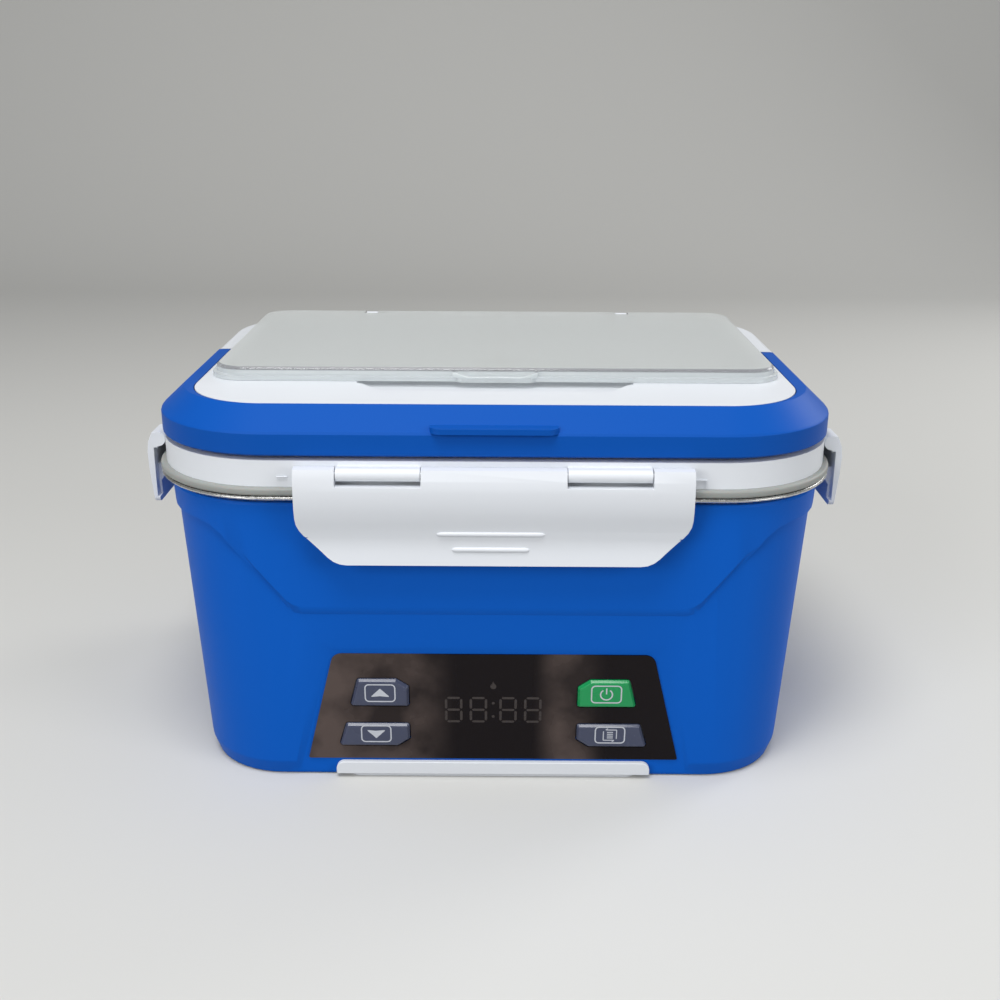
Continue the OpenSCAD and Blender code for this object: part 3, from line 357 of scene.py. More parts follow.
def grain(tree, size_mm, detail, stretch=None):
    """Noise with features of about that size in millimetres."""
    place = add(tree, "ShaderNodeTexCoord").outputs["Object"]
    if stretch:
        place = add(tree, "ShaderNodeMapping", {"Vector": place, "Scale": stretch})
    return add(tree, "ShaderNodeTexNoise", {
        "Vector": place, "Scale": 0.5 / (size_mm * MM), "Detail": detail})


def ranges(value, low, high, from_low=0.3, from_high=0.7):
    """The inputs that carry a value from one range to another. Noise lies mostly in the
    range that they start from."""
    return {"Value": value, "From Min": from_low, "From Max": from_high,
            "To Min": low, "To Max": high}


def tones(colour, factor, spread):
    """The inputs that make a colour darker and lighter by a spread, where the factor is
    low and high. A Mix node takes colours in its inputs 6 and 7, and gives its output 2."""
    return {0: factor, 6: [c * (1 - spread) for c in colour],
            7: [min(1, c * (1 + spread)) for c in colour]}


def patterned(tree, pattern, colour, spread, gloss, bump, bump_mm, **uniform):
    """A surface whose colour and roughness follow a pattern, over a bump."""
    tone = add(tree, "ShaderNodeMix", tones(colour, pattern, spread), data_type="RGBA")
    rough = add(tree, "ShaderNodeMapRange", ranges(pattern, *gloss))
    shade(tree, tone.outputs[2], rough, bump, bump_mm, **uniform)


def bands(tree, axis, sides):
    """Smooth steps along an axis, each from nothing at one place to full at another, in
    millimetres."""
    place = add(tree, "ShaderNodeTexCoord").outputs["Object"]
    along = add(tree, "ShaderNodeSeparateXYZ", {0: place}).outputs[axis]
    return [add(tree, "ShaderNodeMapRange", ranges(along, 0, 1, none * MM, full * MM),
                interpolation_type="SMOOTHSTEP") for none, full in sides]


def moulded(name, colour, rough, spark_mm=0.7, spark_depth=0.02, spread=0.03, **uniform):
    """Moulded plastic with a spark-eroded texture. The mould leaves a fine, even grain,
    which is drawn coarser than the real 0.1 mm so that it shows, and handling leaves
    broad patches that are a little smoother."""
    mat, tree = new_material(name)
    patterned(tree, grain(tree, 45, 3), colour, spread, (rough - 0.05, rough + 0.06),
              grain(tree, spark_mm, 3), spark_depth, **uniform)
    return mat


def brushed(name, colour, rough, along):
    """Metal brushed or drawn in one direction, which pulls its highlights out across it.
    The lines are 0.6 mm apart, coarser than the real ones, so that they show."""
    mat, tree = new_material(name)
    stretch = [1.0, 1.0, 1.0]
    stretch[along] = 0.03
    lines = grain(tree, 0.6, 4, stretch)
    patterned(tree, lines, linear(colour), 0.06, (rough - 0.06, rough + 0.08), lines, 0.003,
              Metallic=1.0)
    return mat


def colours():
    """The colours that the user can change."""
    return bpy.context.scene.lunch_box_colours


def sizes():
    """The sizes that the user can change."""
    return bpy.context.scene.lunch_box_sizes


MATERIALS = {}


def material(name):
    """A finish by name."""
    if name not in MATERIALS:
        MATERIALS[name] = FINISHES[name]()
    return MATERIALS[name]


def satin_abs_blue(name, colour):
    """Moulded ABS, satin: deep even blue with a soft broad sheen."""
    return moulded(name, colour, 0.5, Specular_IOR_Level=0.13)


def satin_pp_white():
    """Moulded polypropylene, satin: cool white, a little waxy."""
    return moulded("Moulded polypropylene white", colours().lid, 0.34, spread=0.012,
                   spark_depth=0.006)


def silicone():
    """Moulded silicone: soft translucent grey with a dull skin that holds fine dust."""
    return moulded("Moulded silicone grey", colours().silicone, 0.55, spark_mm=0.5, spread=0.05,
                   Subsurface_Weight=0.15, Subsurface_Scale=0.002)


def frosted_cover():
    """Moulded clear plastic. The top is frosted by a textured mould and scatters the light to a pale
    even grey. The rim below it is polished, and its lighter tint paints some of its bright reflections.
    Between them a thin grey line is painted into the colour: a painted reflection of a dark wall in the
    rounded edge."""
    # Heights of the frosted top, and of the lower and upper side of the grey line of painted
    # reflection.
    frosted_and_painted_line = ((146.3, 146.8), (145.4, 145.9), (146.93, 146.8))
    mat, tree = new_material("Frosted clear plastic")
    top, start, end = bands(tree, 2, frosted_and_painted_line)
    frost = add(tree, "ShaderNodeMath", {0: grain(tree, 0.8, 3), 1: top}, operation="MULTIPLY")
    # Painted reflection: a band below the frosted top where the colour turns grey.
    line = add(tree, "ShaderNodeMath", {0: start, 1: end}, operation="MULTIPLY")
    # The rim's lighter tint is painted brightness that stands in for its reflections.
    wall = add(tree, "ShaderNodeMix", {0: top, 6: linear("#E6ECEE"), 7: colours().cover},
               data_type="RGBA").outputs[2]
    tint = add(tree, "ShaderNodeMix", {0: line, 6: wall, 7: linear("#97979B")},
               data_type="RGBA").outputs[2]
    gloss = add(tree, "ShaderNodeMapRange", ranges(top, 0.08, 0.46, 0.0, 1.0))
    surface = shade(tree, tint, gloss, frost, 0.0015, IOR=1.49)
    for socket, rim, face in (("Transmission Weight", 0.25, 0.35), ("Alpha", 0.6, 0.8)):
        share = add(tree, "ShaderNodeMapRange", ranges(top, rim, face, 0.0, 1.0))
        tree.links.new(share.outputs[0], surface.inputs[socket])
    return mat


def printed_film():
    """Polyester film printed black behind a glossy face. It is soft, so it puckers round the keys.
    Beside them a brownish glare is painted into its black, a painted reflection of the room, and its
    face is rougher there, which breaks up the shine."""
    # To the right: round the keys on both sides, and where the painted glare on the right ends again.
    key_sides = ((-13, -29), (14, 26), (42, 30))
    mat, tree = new_material("Printed polyester film")
    left, right, fade = bands(tree, 0, key_sides)
    near_keys = add(tree, "ShaderNodeMath", {0: left, 1: right}, operation="ADD")
    inner = add(tree, "ShaderNodeMath", {0: right, 1: fade}, operation="MULTIPLY")
    glare_sides = add(tree, "ShaderNodeMath", {0: left, 1: inner}, operation="ADD")
    glare_patches = add(tree, "ShaderNodeMapRange", ranges(grain(tree, 13, 4), 0.2, 1, 0.38, 0.62))
    painted_glare = add(tree, "ShaderNodeMath", {0: glare_sides, 1: glare_patches}, operation="MULTIPLY")
    # Painted reflection: the black turns brownish grey in patches where the glare falls.
    tone = add(tree, "ShaderNodeMix", {0: painted_glare, 6: colours().film, 7: linear("#5A4E4A")},
               data_type="RGBA").outputs[2]
    gloss = add(tree, "ShaderNodeMapRange", ranges(painted_glare, 0.16, 0.36, 0.0, 1.0))
    puckers = add(tree, "ShaderNodeMath", {0: grain(tree, 5, 1), 1: near_keys},
                  operation="MULTIPLY")
    shade(tree, tone, gloss, puckers, 0.5, Specular_IOR_Level=0.15)
    return mat


def key_plastic(name, colour):
    """Moulded clear-coated key: a glossy face that picks up small highlights."""
    mat, tree = new_material(name)
    patterned(tree, grain(tree, 5, 3), colour, 0.08, (0.2, 0.32), grain(tree, 3.5, 2), 0.05,
              Specular_IOR_Level=0.22, Coat_Weight=0.55, Coat_Roughness=0.08)
    return mat


def ink(name, colour, rough):
    """Screen-printed ink: flat, thin, slightly uneven where the mesh laid it."""
    mat, tree = new_material(name)
    cover = grain(tree, 1.2, 2)
    patterned(tree, cover, colour, 0.08, (rough - 0.05, rough + 0.05), cover, 0.004)
    return mat


def circuit_board():
    """Glass-fibre laminate under green solder mask, with the weave faintly showing."""
    mat, tree = new_material("Solder mask green laminate")
    weave = add(tree, "ShaderNodeTexWave", {
        "Vector": add(tree, "ShaderNodeTexCoord").outputs["Object"], "Scale": 500.0,
        "Distortion": 1.0}).outputs["Fac"]
    patterned(tree, weave, linear("#12562F"), 0.12, (0.24, 0.36, 0, 1), weave, 0.01)
    return mat


def plain_floor():
    """Pale seamless paper for the floor and the backdrop. The eye, metal and clear plastic
    see it pale. What it throws back on the object is the light of a greyer sheet, so that
    faces that look down keep their shade."""
    mat, tree = new_material("Pale studio paper")
    path = add(tree, "ShaderNodeLightPath").outputs
    seen = path["Is Camera Ray"]
    for ray in ("Is Glossy Ray", "Is Transmission Ray"):
        seen = add(tree, "ShaderNodeMath", {0: seen, 1: path[ray]}, operation="MAXIMUM")
    paper = add(tree, "ShaderNodeMix", {0: seen, 6: linear("#90908E"), 7: linear("#D4D4D1")},
                data_type="RGBA")
    shade(tree, paper.outputs[2], 0.8, grain(tree, 2.0, 3), 0.02)
    return mat


# Each finish by the name that the operators use. A comment says what tells the metals and
# the plain mouldings apart for the eye.
FINISHES = {
    "blue": lambda: satin_abs_blue("Moulded ABS satin blue", colours().shell),
    # Painted shade: the handle takes a darker copy of the shell's blue.
    "handle blue painted darker": lambda: satin_abs_blue("Moulded ABS satin blue painted darker", colours().handle),
    "white": satin_pp_white,
    # A duller white inside the box.
    "inner white": lambda: moulded("Moulded polypropylene natural", colours().inside, 0.5),
    # Matte, for the parts inside and the inlet.
    "black": lambda: moulded("Moulded ABS matte black", linear("#1B1B1D"), 0.5, spread=0.1),
    "silicone": silicone,
    "frosted": frosted_cover,
    "film": printed_film,
    "slate key": lambda: key_plastic("Moulded key slate", colours().keys),
    "green key": lambda: key_plastic("Moulded key green", colours().power_key),
    "sign ink": lambda: ink("Printed ink pale grey", colours().print_ink, 0.4),
    "segment ink": lambda: ink("Unlit display segments", colours().dark_ink, 0.3),
    "board": circuit_board,
    # Bright, with streaks up the container's wall.
    "steel": lambda: brushed("Stainless steel drawn", "#C9C9C6", 0.24, 2),
    # Plainer grey, with streaks across the sheet.
    "sheet steel": lambda: brushed("Stainless steel rolled sheet", "#BFBFBC", 0.3, 0),
    # Bluish and duller.
    "screw steel": lambda: brushed("Zinc-plated steel", "#B9BCC0", 0.34, 2),
    # Pale, with a broad soft shine.
    "aluminium": lambda: brushed("Aluminium cast and machined", "#C6C8CA", 0.36, 0),
    # Warm and nearly matte.
    "heater case": lambda: brushed("Aluminium anodised heater case", "#B9B2A6", 0.42, 0),
    # Pale yellow and bright.
    "brass": lambda: brushed("Brass nickel-plated", "#D8C489", 0.25, 1),
    # Cream with a wet shine.
    "ceramic": lambda: moulded("Glazed ceramic", linear("#E2DDD0"), 0.2),
    # Strong green, drawn tight and shiny.
    "cell wrap": lambda: moulded("Shrink film green", linear("#1E7A4B"), 0.28, spread=0.05),
    "floor": plain_floor,
}


# ---- geometry-node helpers ----


def new_tree(name, **inputs):
    """A geometry node tree that takes points, some sizes with their defaults in
    millimetres, and a finish."""
    tree = bpy.data.node_groups.new(name, "GeometryNodeTree")
    tree.interface.new_socket("Geometry", in_out="INPUT", socket_type="NodeSocketGeometry")
    for label, default in inputs.items():
        socket = tree.interface.new_socket(
            label.replace("_", " "), in_out="INPUT", socket_type="NodeSocketFloat")
        socket.default_value = default * MM
    tree.interface.new_socket("Finish", in_out="INPUT", socket_type="NodeSocketMaterial")
    tree.interface.new_socket("Geometry", in_out="OUTPUT", socket_type="NodeSocketGeometry")
    return tree, add(tree, "NodeGroupInput").outputs


def end_tree(tree, piece, given, placed=True, scale=(1.0, 1.0, 1.0)):
    """Ends a tree: the piece placed on each point, or as it is, then realised, with its
    material set, and out."""
    if placed:
        piece = add(tree, "GeometryNodeInstanceOnPoints", {
            "Points": given["Geometry"], "Instance": piece, "Scale": scale})
    real = add(tree, "GeometryNodeRealizeInstances", {0: piece})
    done = add(tree, "GeometryNodeSetMaterial", {0: real, "Material": given["Finish"]})
    add(tree, "NodeGroupOutput", {0: done})
    return tree


def grow(name, tree, points, look, body, slot, nodes=(), edges=(), **given):
    """Adds a piece: the plain mesh that a tree makes on points, joined by edges or loose.
    The tree's sizes are given by their names, in millimetres."""
    same_place = 0.001 * MM
    mesh = bpy.data.meshes.new(name)
    mesh.from_pydata([Vector(p) * MM for p in points], edges, [])
    obj = link(name, mesh)
    modifier = add_modifier(obj, tree.name, "NODES", node_group=tree)
    for item in tree.interface.items_tree:
        key = item.name.replace(" ", "_")
        if key in given:
            modifier[item.identifier] = given[key] * MM
        elif key == "Finish":
            modifier[item.identifier] = material(look)
    bake(obj)
    bm = bmesh.new()
    bm.from_mesh(obj.data)
    bmesh.ops.remove_doubles(bm, verts=bm.verts, dist=same_place)
    bmesh.ops.recalc_face_normals(bm, faces=bm.faces)
    fill(obj.data, bm)
    finish(obj, look, body, slot, *nodes)


def screw_tree():
    """Screws with a cross recess, one on each point, with the head facing down."""
    tree, given = new_tree("Cross-head screws", Head_radius=2.7, Head_height=1.6,
                           Shank_radius=1.5, Shank_length=14.0)

    def rod(radius, height, low):
        part = add(tree, "GeometryNodeMeshCylinder", {
            "Vertices": 32, "Radius": radius, "Depth": height})
        centre = add(tree, "ShaderNodeMath", {0: height, 1: 0.5, 2: low},
                     operation="MULTIPLY_ADD")
        lift = add(tree, "ShaderNodeCombineXYZ", {2: centre})
        return add(tree, "GeometryNodeTransform", {0: part, "Translation": lift})

    down = add(tree, "ShaderNodeMath", {0: given["Head height"], 1: -1.0}, operation="MULTIPLY")
    cut = rod(given["Head radius"], given["Head height"], down)
    arm, slot = (
        add(tree, "ShaderNodeMath", {0: given["Head radius"], 1: share}, operation="MULTIPLY")
        for share in (1.2, 0.28))
    place = add(tree, "ShaderNodeCombineXYZ", {2: down})
    for across, along in ((arm, slot), (slot, arm)):
        size = add(tree, "ShaderNodeCombineXYZ", {0: across, 1: along, 2: given["Head height"]})
        bar = add(tree, "GeometryNodeMeshCube", {"Size": size})
        bar = add(tree, "GeometryNodeTransform", {0: bar, "Translation": place})
        cut = add(tree, "GeometryNodeMeshBoolean", {"Mesh 1": cut, "Mesh 2": bar},
                  operation="DIFFERENCE")
    whole = add(tree, "GeometryNodeMeshBoolean", {"Mesh 2": cut}, operation="UNION")
    shank = rod(given["Shank radius"], given["Shank length"], 0.0)
    tree.links.new(shank.outputs[0], whole.inputs["Mesh 2"])
    return end_tree(tree, whole, given)


def ridge_tree():
    """Rounded ridges, one on each point. Each is shorter than the one above it."""
    shortening, points_along, ring_points = 0.28, 40, 12
    # The radius is the root of this less a power of the distance from the middle.
    full, bluntness = 1.02, 24.0
    tree, given = new_tree("Grip ridges", Length=36.8, Radius=0.9)
    line = add(tree, "GeometryNodeCurvePrimitiveLine", {"Start": (-0.5, 0, 0), "End": (0.5, 0, 0)})
    span = add(tree, "ShaderNodeCombineXYZ", {0: given["Length"], 1: 1.0, 2: 1.0})
    line = add(tree, "GeometryNodeTransform", {0: line, "Scale": span})
    fine = add(tree, "GeometryNodeResampleCurve", {"Curve": line, "Count": points_along})
    along = add(tree, "GeometryNodeSplineParameter").outputs["Factor"]
    centred = add(tree, "ShaderNodeMath", {0: along, 1: 2.0, 2: -1.0}, operation="MULTIPLY_ADD")
    off = add(tree, "ShaderNodeMath", {0: centred}, operation="ABSOLUTE")
    high = add(tree, "ShaderNodeMath", {0: off, 1: bluntness}, operation="POWER")
    left = add(tree, "ShaderNodeMath", {0: full, 1: high}, operation="SUBTRACT")
    round_end = add(tree, "ShaderNodeMath", {0: left, 1: 0.5}, operation="POWER")
    ring = add(tree, "GeometryNodeCurvePrimitiveCircle", {
        "Resolution": ring_points, "Radius": given["Radius"]})
    bar = add(tree, "GeometryNodeCurveToMesh", {
        "Curve": fine, "Profile Curve": ring, "Scale": round_end, "Fill Caps": True})
    order = add(tree, "GeometryNodeInputIndex")
    kept = add(tree, "ShaderNodeMath", {0: order, 1: -shortening, 2: 1.0},
               operation="MULTIPLY_ADD")
    scale = add(tree, "ShaderNodeCombineXYZ", {0: kept, 1: 1.0, 2: 1.0})
    return end_tree(tree, bar, given, scale=scale)


def bead_tree():
    """A round bead that follows a path of edges."""
    tree, given = new_tree("Bead on a path", Radius=0.22)
    path = add(tree, "GeometryNodeMeshToCurve", {0: given["Geometry"]})
    ring = add(tree, "GeometryNodeCurvePrimitiveCircle", {
        "Resolution": 10, "Radius": given["Radius"]})
    bead = add(tree, "GeometryNodeCurveToMesh", {
        "Curve": path, "Profile Curve": ring, "Fill Caps": True})
    return end_tree(tree, bead, given, placed=False)


def seal_tree():
    """A band with a rounded edge that follows a rounded rectangle."""
    tree, given = new_tree("Seal round the lid", Width=230, Depth=170, Corner=40,
                           Band_width=12, Band_height=2.7, Lip=0.9)

    def rounded(width, depth, corner, count):
        box = add(tree, "GeometryNodeCurvePrimitiveQuadrilateral", {"Width": width, "Height": depth})
        return add(tree, "GeometryNodeFilletCurve", {
            "Curve": box, "Radius": corner, "Count": count}, mode="POLY")

    path = rounded(given["Width"], given["Depth"], given["Corner"], 24)
    level_path = add(tree, "GeometryNodeSetCurveNormal", {"Curve": path}, mode="Z_UP")
    profile = rounded(given["Band width"], given["Band height"], given["Lip"], 5)
    band = add(tree, "GeometryNodeCurveToMesh", {"Curve": level_path, "Profile Curve": profile})
    return end_tree(tree, band, given)


def cell_tree():
    """Round cells laid side by side along Y, each with its raised contact."""
    contact_rise, contact_share = 1.2 * MM, 0.45
    tree, given = new_tree("Battery cells", Radius=9.2, Length=65.2)
    sleeve = add(tree, "ShaderNodeMath", {0: given["Length"], 1: -contact_rise})
    body = add(tree, "GeometryNodeMeshCylinder", {
        "Vertices": 48, "Radius": given["Radius"], "Depth": sleeve})
    small = add(tree, "ShaderNodeMath", {0: given["Radius"], 1: contact_share},
                operation="MULTIPLY")
    contact = add(tree, "GeometryNodeMeshCylinder", {
        "Vertices": 32, "Radius": small, "Depth": given["Length"]})
    both = add(tree, "GeometryNodeJoinGeometry", {0: body})
    tree.links.new(contact.outputs[0], both.inputs[0])
    laid = add(tree, "GeometryNodeTransform", {0: both, "Rotation": (0.0, math.pi / 2, 0.0)})
    return end_tree(tree, laid, given)


def middle(node):
    """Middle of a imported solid's box, in millimetres, and its half sizes."""
    low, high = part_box(node)
    return ([(a + b) / 2 / MM for a, b in zip(low, high)],
            [(b - a) / 2 / MM for a, b in zip(low, high)])


# ---- operators ----


class Piece:
    """Shared settings of the operators"""
    bl_options = {"REGISTER", "UNDO"}


class LUNCHBOX_OT_shell(Piece, bpy.types.Operator):
    """Body shell and foot bars with softened edges, and the base plate"""
    bl_idname = "lunchbox.shell"
    bl_label = "Shell and base"

    def execute(self, context):
        dress("body_shell", "outer_shell", "blue", "base", "blue_shell", share=0.8, shortest=0.8)
        coat("blue", "base_plate")
        for side in ("front", "rear"):
            dress(f"foot_bar_{side}", f"foot_tread_{side}", "white", "base", "white_plastic", share=1.5,
                  segments=3)
        return {"FINISHED"}


def key_outline(row, side):
    """Corners of a key's outline, anticlockwise seen from the front. Its outer end leans
    with the film's side, and its inner corner away from the other row is cut."""
    low, high, outer = KEY_ROWS[row]
    lean, cut_along, cut_up = 1.4, 4.4, 3.0
    outer_end = [(outer + lean, low), (outer - lean, high)]
    if row == 0:
        points = [(KEY_INNER, low), *outer_end,
                  (KEY_INNER + cut_along, high), (KEY_INNER, high - cut_up)]
    else:
        points = [(KEY_INNER + cut_along, low), *outer_end,
                  (KEY_INNER, high), (KEY_INNER, low + cut_up)]
    if side < 0:
        points = [(-x, y) for x, y in points][::-1]
    return [Vector(p) for p in points]


class LUNCHBOX_OT_panel(Piece, bpy.types.Operator):
    """Printed film of the control panel and the clock's unlit segments"""
    bl_idname = "lunchbox.panel"
    bl_label = "Control panel"

    def execute(self, context):
        corners = [(-FILM_HALF_LOW, FILM_LOW), (FILM_HALF_LOW, FILM_LOW),
                   (FILM_HALF_HIGH, FILM_HIGH), (-FILM_HALF_HIGH, FILM_HIGH)]
        lower_round, upper_round = 0.6, 4.0
        hole_gap, hole_round = 0.35, KEY_CORNER + 0.3
        bm = bmesh.new()
        edges = []

        def loop(points):
            verts = [bm.verts.new((p.x, p.y, 0.0)) for p in points]
            edges.extend(bm.edges.new((a, b)) for a, b in zip(verts, verts[1:] + verts[:1]))

        loop(round_corners(corners, [lower_round] * 2 + [upper_round] * 2, 8))
        for row in (0, 1):
            for side in (-1, 1):
                points = key_outline(row, side)
                loop(inset(round_corners(points, [hole_round] * len(points), 4), -hole_gap))
        bmesh.ops.triangle_fill(bm, edges=edges, use_beauty=True)
        bmesh.ops.recalc_face_normals(bm, faces=bm.faces)
        for part in bmesh.ops.extrude_face_region(bm, geom=bm.faces[:])["geom"]:
            if isinstance(part, bmesh.types.BMVert):
                part.co.z = FILM_THICK
        for vert in bm.verts:
            vert.co = on_panel(vert.co.x, vert.co.y, FILM_FACE - FILM_THICK + vert.co.z)
        build("panel_film", bm, 35, "film", "base", "panel_film", "control_film")
        self.segments()
        return {"FINISHED"}

    def segments(self):
        """Four digits, the two dots between them and a drop above them."""
        size = sizes()
        high, wide, line = size.digit_height / MM, size.digit_width / MM, size.digit_line / MM
        mid, digits, gap = 27.3, (-14.4, -5.4, 5.4, 14.4), 0.35
        dot_off, dot_radius = 2.8, 0.55
        drop_up, drop_radius, drop_tip = 37.1, 1.1, 1.0
        bm = bmesh.new()

        def bar(first, last):
            first, last, along, half = stroke(first, last, line)
            a, b = first + along * gap, last - along * gap
            tip = along * line / 2
            thin_print(bm, [a, a + tip - half, b - tip - half, b, b - tip + half,
                            a + tip + half], FILM_FACE)

        half_w, half_h = (wide - line) / 2, (high - line) / 2
        for centre in digits:
            x0, x1 = centre - half_w, centre + half_w
            for y in (mid - half_h, mid, mid + half_h):
                bar((x0, y), (x1, y))
            for x in (x0, x1):
                bar((x, mid - half_h), (x, mid))
                bar((x, mid), (x, mid + half_h))
        for off in (-dot_off, dot_off):
            thin_print(bm, circle(0, mid + off, dot_radius, 16), FILM_FACE)
        drop = circle(0, drop_up, drop_radius, 16)
        drop[4].y += drop_tip
        thin_print(bm, drop, FILM_FACE)
        build("clock_segments", bm, 20, "segment ink", "base", "panel_film")


class LUNCHBOX_OT_keys(Piece, bpy.types.Operator):
    """The four keys with their printed signs"""
    bl_idname = "lunchbox.keys"
    bl_label = "Keys"

    def execute(self, context):
        for name, row, side in (("up", 0, -1), ("down", 1, -1), ("power", 0, 1), ("menu", 1, 1)):
            self.key(name, row, side)
            self.sign(name, row, side)
        return {"FINISHED"}

    def key(self, name, row, side):
        """The cap with its bevelled face, and the parts behind it."""
        corners = key_outline(row, side)
        dome = sizes().key_dome / MM

        def ring(by):
            return round_corners(inset(corners, by), [max(0.3, KEY_CORNER - by)] * len(corners), 4)

        # How far in, as a share of the bevel's width, and how far out from the key's face.
        profile = [(0.0, KEY_FOOT - KEY_FACE - 0.1), (0.0, -1.2), (0.05, -1.12), (0.1, -1.05),
                   (0.42, -0.2), (0.5, -0.12), (0.62, -0.05), (0.8, -0.01), (1.0, 0.0)]
        bm = bmesh.new()
        skin(bm, [level(ring(dome * across), KEY_FACE + out) for across, out in profile])
        low, high, outer = KEY_ROWS[row]
        flange_wider, neck_narrower, post_radius, post_shift = 1.1, 0.8, 1.8, 0.5
        middle_x = side * (KEY_INNER + outer - post_shift) / 2
        post = circle(middle_x, (low + high) / 2, post_radius, 24)
        # Back and front of the flange that holds the key behind the wall, of the neck
        # between it and the cap, and of the post that meets the switch.
        for outline, back, front in (
                (ring(-flange_wider), -4.8, -3.65), (ring(neck_narrower), -3.66, -3.3),
                (post, -5.48, -4.75)):
            skin(bm, [level(outline, back), level(outline, front)])
        bmesh.ops.recalc_face_normals(bm, faces=bm.faces)
        cap = from_bmesh(f"key_cap_{name}", bm, 50)
        add_modifier(cap, "Face weights", "WEIGHTED_NORMAL", keep_sharp=True, weight=100)
        bake(cap)
        colour = "green" if name == "power" else "slate"
        finish(cap, f"{colour} key", f"{name}_key", f"key_{colour}", f"button_{name}")

    def sign(self, name, row, side):
        """The sign in its frame: an arrow, a broken ring with a bar, or a list between two
        bent arrows."""
        line, thin = sizes().sign_line / MM, 0.35
        half_w, frame_round = 5.6, 1.6
        x, y, half_h = ((side * 40.9, 34.8, 3.7), (side * 42.8, 17.6, 3.6))[row]
        corners = [(x + half_w * i, y + half_h * j)
                   for i, j in ((-1, -1), (1, -1), (1, 1), (-1, 1))]
        outer = round_corners(corners, [frame_round] * 4)
        inner = inset(outer, line)
        low, high = KEY_FACE + PRINT_LOW, KEY_FACE + PRINT_HIGH
        bm = bmesh.new()
        skin(bm, [level(outer, low), level(outer, high), level(inner, high), level(inner, low)],
             closed=True)

        def bar(x0, y0, x1, y1, width=thin):
            a, b, along, half = stroke((x + x0, y + y0), (x + x1, y + y1), width)
            thin_print(bm, [a - half, b - half, b + half, a + half], KEY_FACE)

        if name in ("up", "down"):
            flip = 1 if name == "up" else -1
            half, foot, notch, tip, blunt = 3.5, -1.6 * flip, -1.25 * flip, 1.9 * flip, 0.2
            arrow = [(x - half, y + foot), (x, y + notch), (x + half, y + foot), (x, y + tip)]
            thin_print(bm, round_corners(arrow[::flip], [blunt] * 4, 3), KEY_FACE)
        elif name == "power":
            count, inner_r, outer_r, start, sweep, down = 24, 1.9, 2.4, 125, 290, 0.1
            for k in range(count):
                a0, a1 = [math.radians(start + sweep * (k + j) / count) for j in (0, 1)]
                quad = [Vector((x + r * math.cos(a), y - down + r * math.sin(a)))
                        for r, a in ((inner_r, a1), (outer_r, a1), (outer_r, a0), (inner_r, a0))]
                thin_print(bm, quad, KEY_FACE)
            bar(0, 0.1, 0, 2.5, line)
        else:
            for up in (1.2, 0.4, -0.4, -1.2):
                bar(-1.1, up, 1.1, up)
            # The second arrow is the first turned half round.
            for s in (-1, 1):
                bar(-2.4 * s, -2.2 * s, -2.4 * s, 1.6 * s)
                bar(-2.4 * s, -2.2 * s, 1.4 * s, -2.2 * s)
                bar(0.8 * s, -2.8 * s, 1.6 * s, -2.2 * s)
        build(f"key_sign_{name}", bm, 20, "sign ink", f"{name}_key",
              "key_green" if name == "power" else "key_slate")


def by_lug(centre):
    """Whether an edge lies where a hinge lug of the lid fills the slot of its latch."""
    lug_low, lug_high, lug_root = 117.5, 126.0, 0.6
    x, y, z = centre
    return lug_low < z < lug_high and max(abs(x) - RING_SIDE, abs(y) - RING_FACE) > -lug_root


class LUNCHBOX_OT_lid(Piece, bpy.types.Operator):
    """Lid frame, its inner plate, the steam plug and the marks beside the long latches"""
    bl_idname = "lunchbox.lid"
    bl_label = "Lid"

    def execute(self, context):
        dress("lid_frame", "lid_moulding", "white", "lid", "white_plastic", share=0.7, spared=by_lug)
        coat("inner white", "lid_inner_plate")
        # A dash at one end of the latch and a hook at the other, sunk a little in the ring.
        marks = [(72.8, 119.6), (69.3, 119.6), (-66.6, 119.3), (-71.1, 119.3), (-71.1, 116.3)]
        sunk, radius = 0.05, 0.22
        tree = bead_tree()
        for name, way in (("front", -1), ("rear", 1)):
            points = [(way * x, way * (RING_FACE - sunk), z) for x, z in marks]
            grow(f"ring_marks_{name}", tree, points, "white", "lid", "white_plastic",
                 edges=[(0, 1), (2, 3), (3, 4)], Radius=radius)
        dress("vent_plug", "steam_plug", "silicone", "vent", "silicone")
        return {"FINISHED"}


class LUNCHBOX_OT_seal(Piece, bpy.types.Operator):
    """Silicone seal that follows the lid's outline, and the bead on it"""
    bl_idname = "lunchbox.seal"
    bl_label = "Seal"

    def execute(self, context):
        (x, y, z), (half_x, half_y, half_z) = middle("lid_seal")
        corner = 44.6
        tree = seal_tree()
        # For each band: how far its middle lies inside the seal's edge and over its foot,
        # its width and height, the rounding of its edges, and the solid that it replaces.
        bands = {"seal_band": (6.3, 1.365, 12.6, 2.73, sizes().seal_lip / MM, ["lid_seal"]),
                 "seal_bead": (5.6, 4.13, 2.4, 3.0, 0.4, [])}
        for name, (inside, lift, width, height, lip, solids) in bands.items():
            grow(name, tree, [(x, y, z - half_z + lift)], "silicone", "lid", "silicone", solids,
                 Width=2 * (half_x - inside), Depth=2 * (half_y - inside),
                 Corner=corner - inside, Band_width=width, Band_height=height, Lip=lip)
        return {"FINISHED"}


class LUNCHBOX_OT_container(Piece, bpy.types.Operator):
    """Steel container with its rolled flange"""
    bl_idname = "lunchbox.container"
    bl_label = "Container"

    def execute(self, context):
        dress("inner_pot", "steel_container", "steel", "pot", "stainless", share=1.2, angle=50,
              segments=4)
        return {"FINISHED"}


class LUNCHBOX_OT_handle(Piece, bpy.types.Operator):
    """Carry handle with softened edges"""
    bl_idname = "lunchbox.handle"
    bl_label = "Handle"

    def execute(self, context):
        dress("carry_handle", "folding_handle", "handle blue painted darker", "handle", "blue_handle")
        return {"FINISHED"}


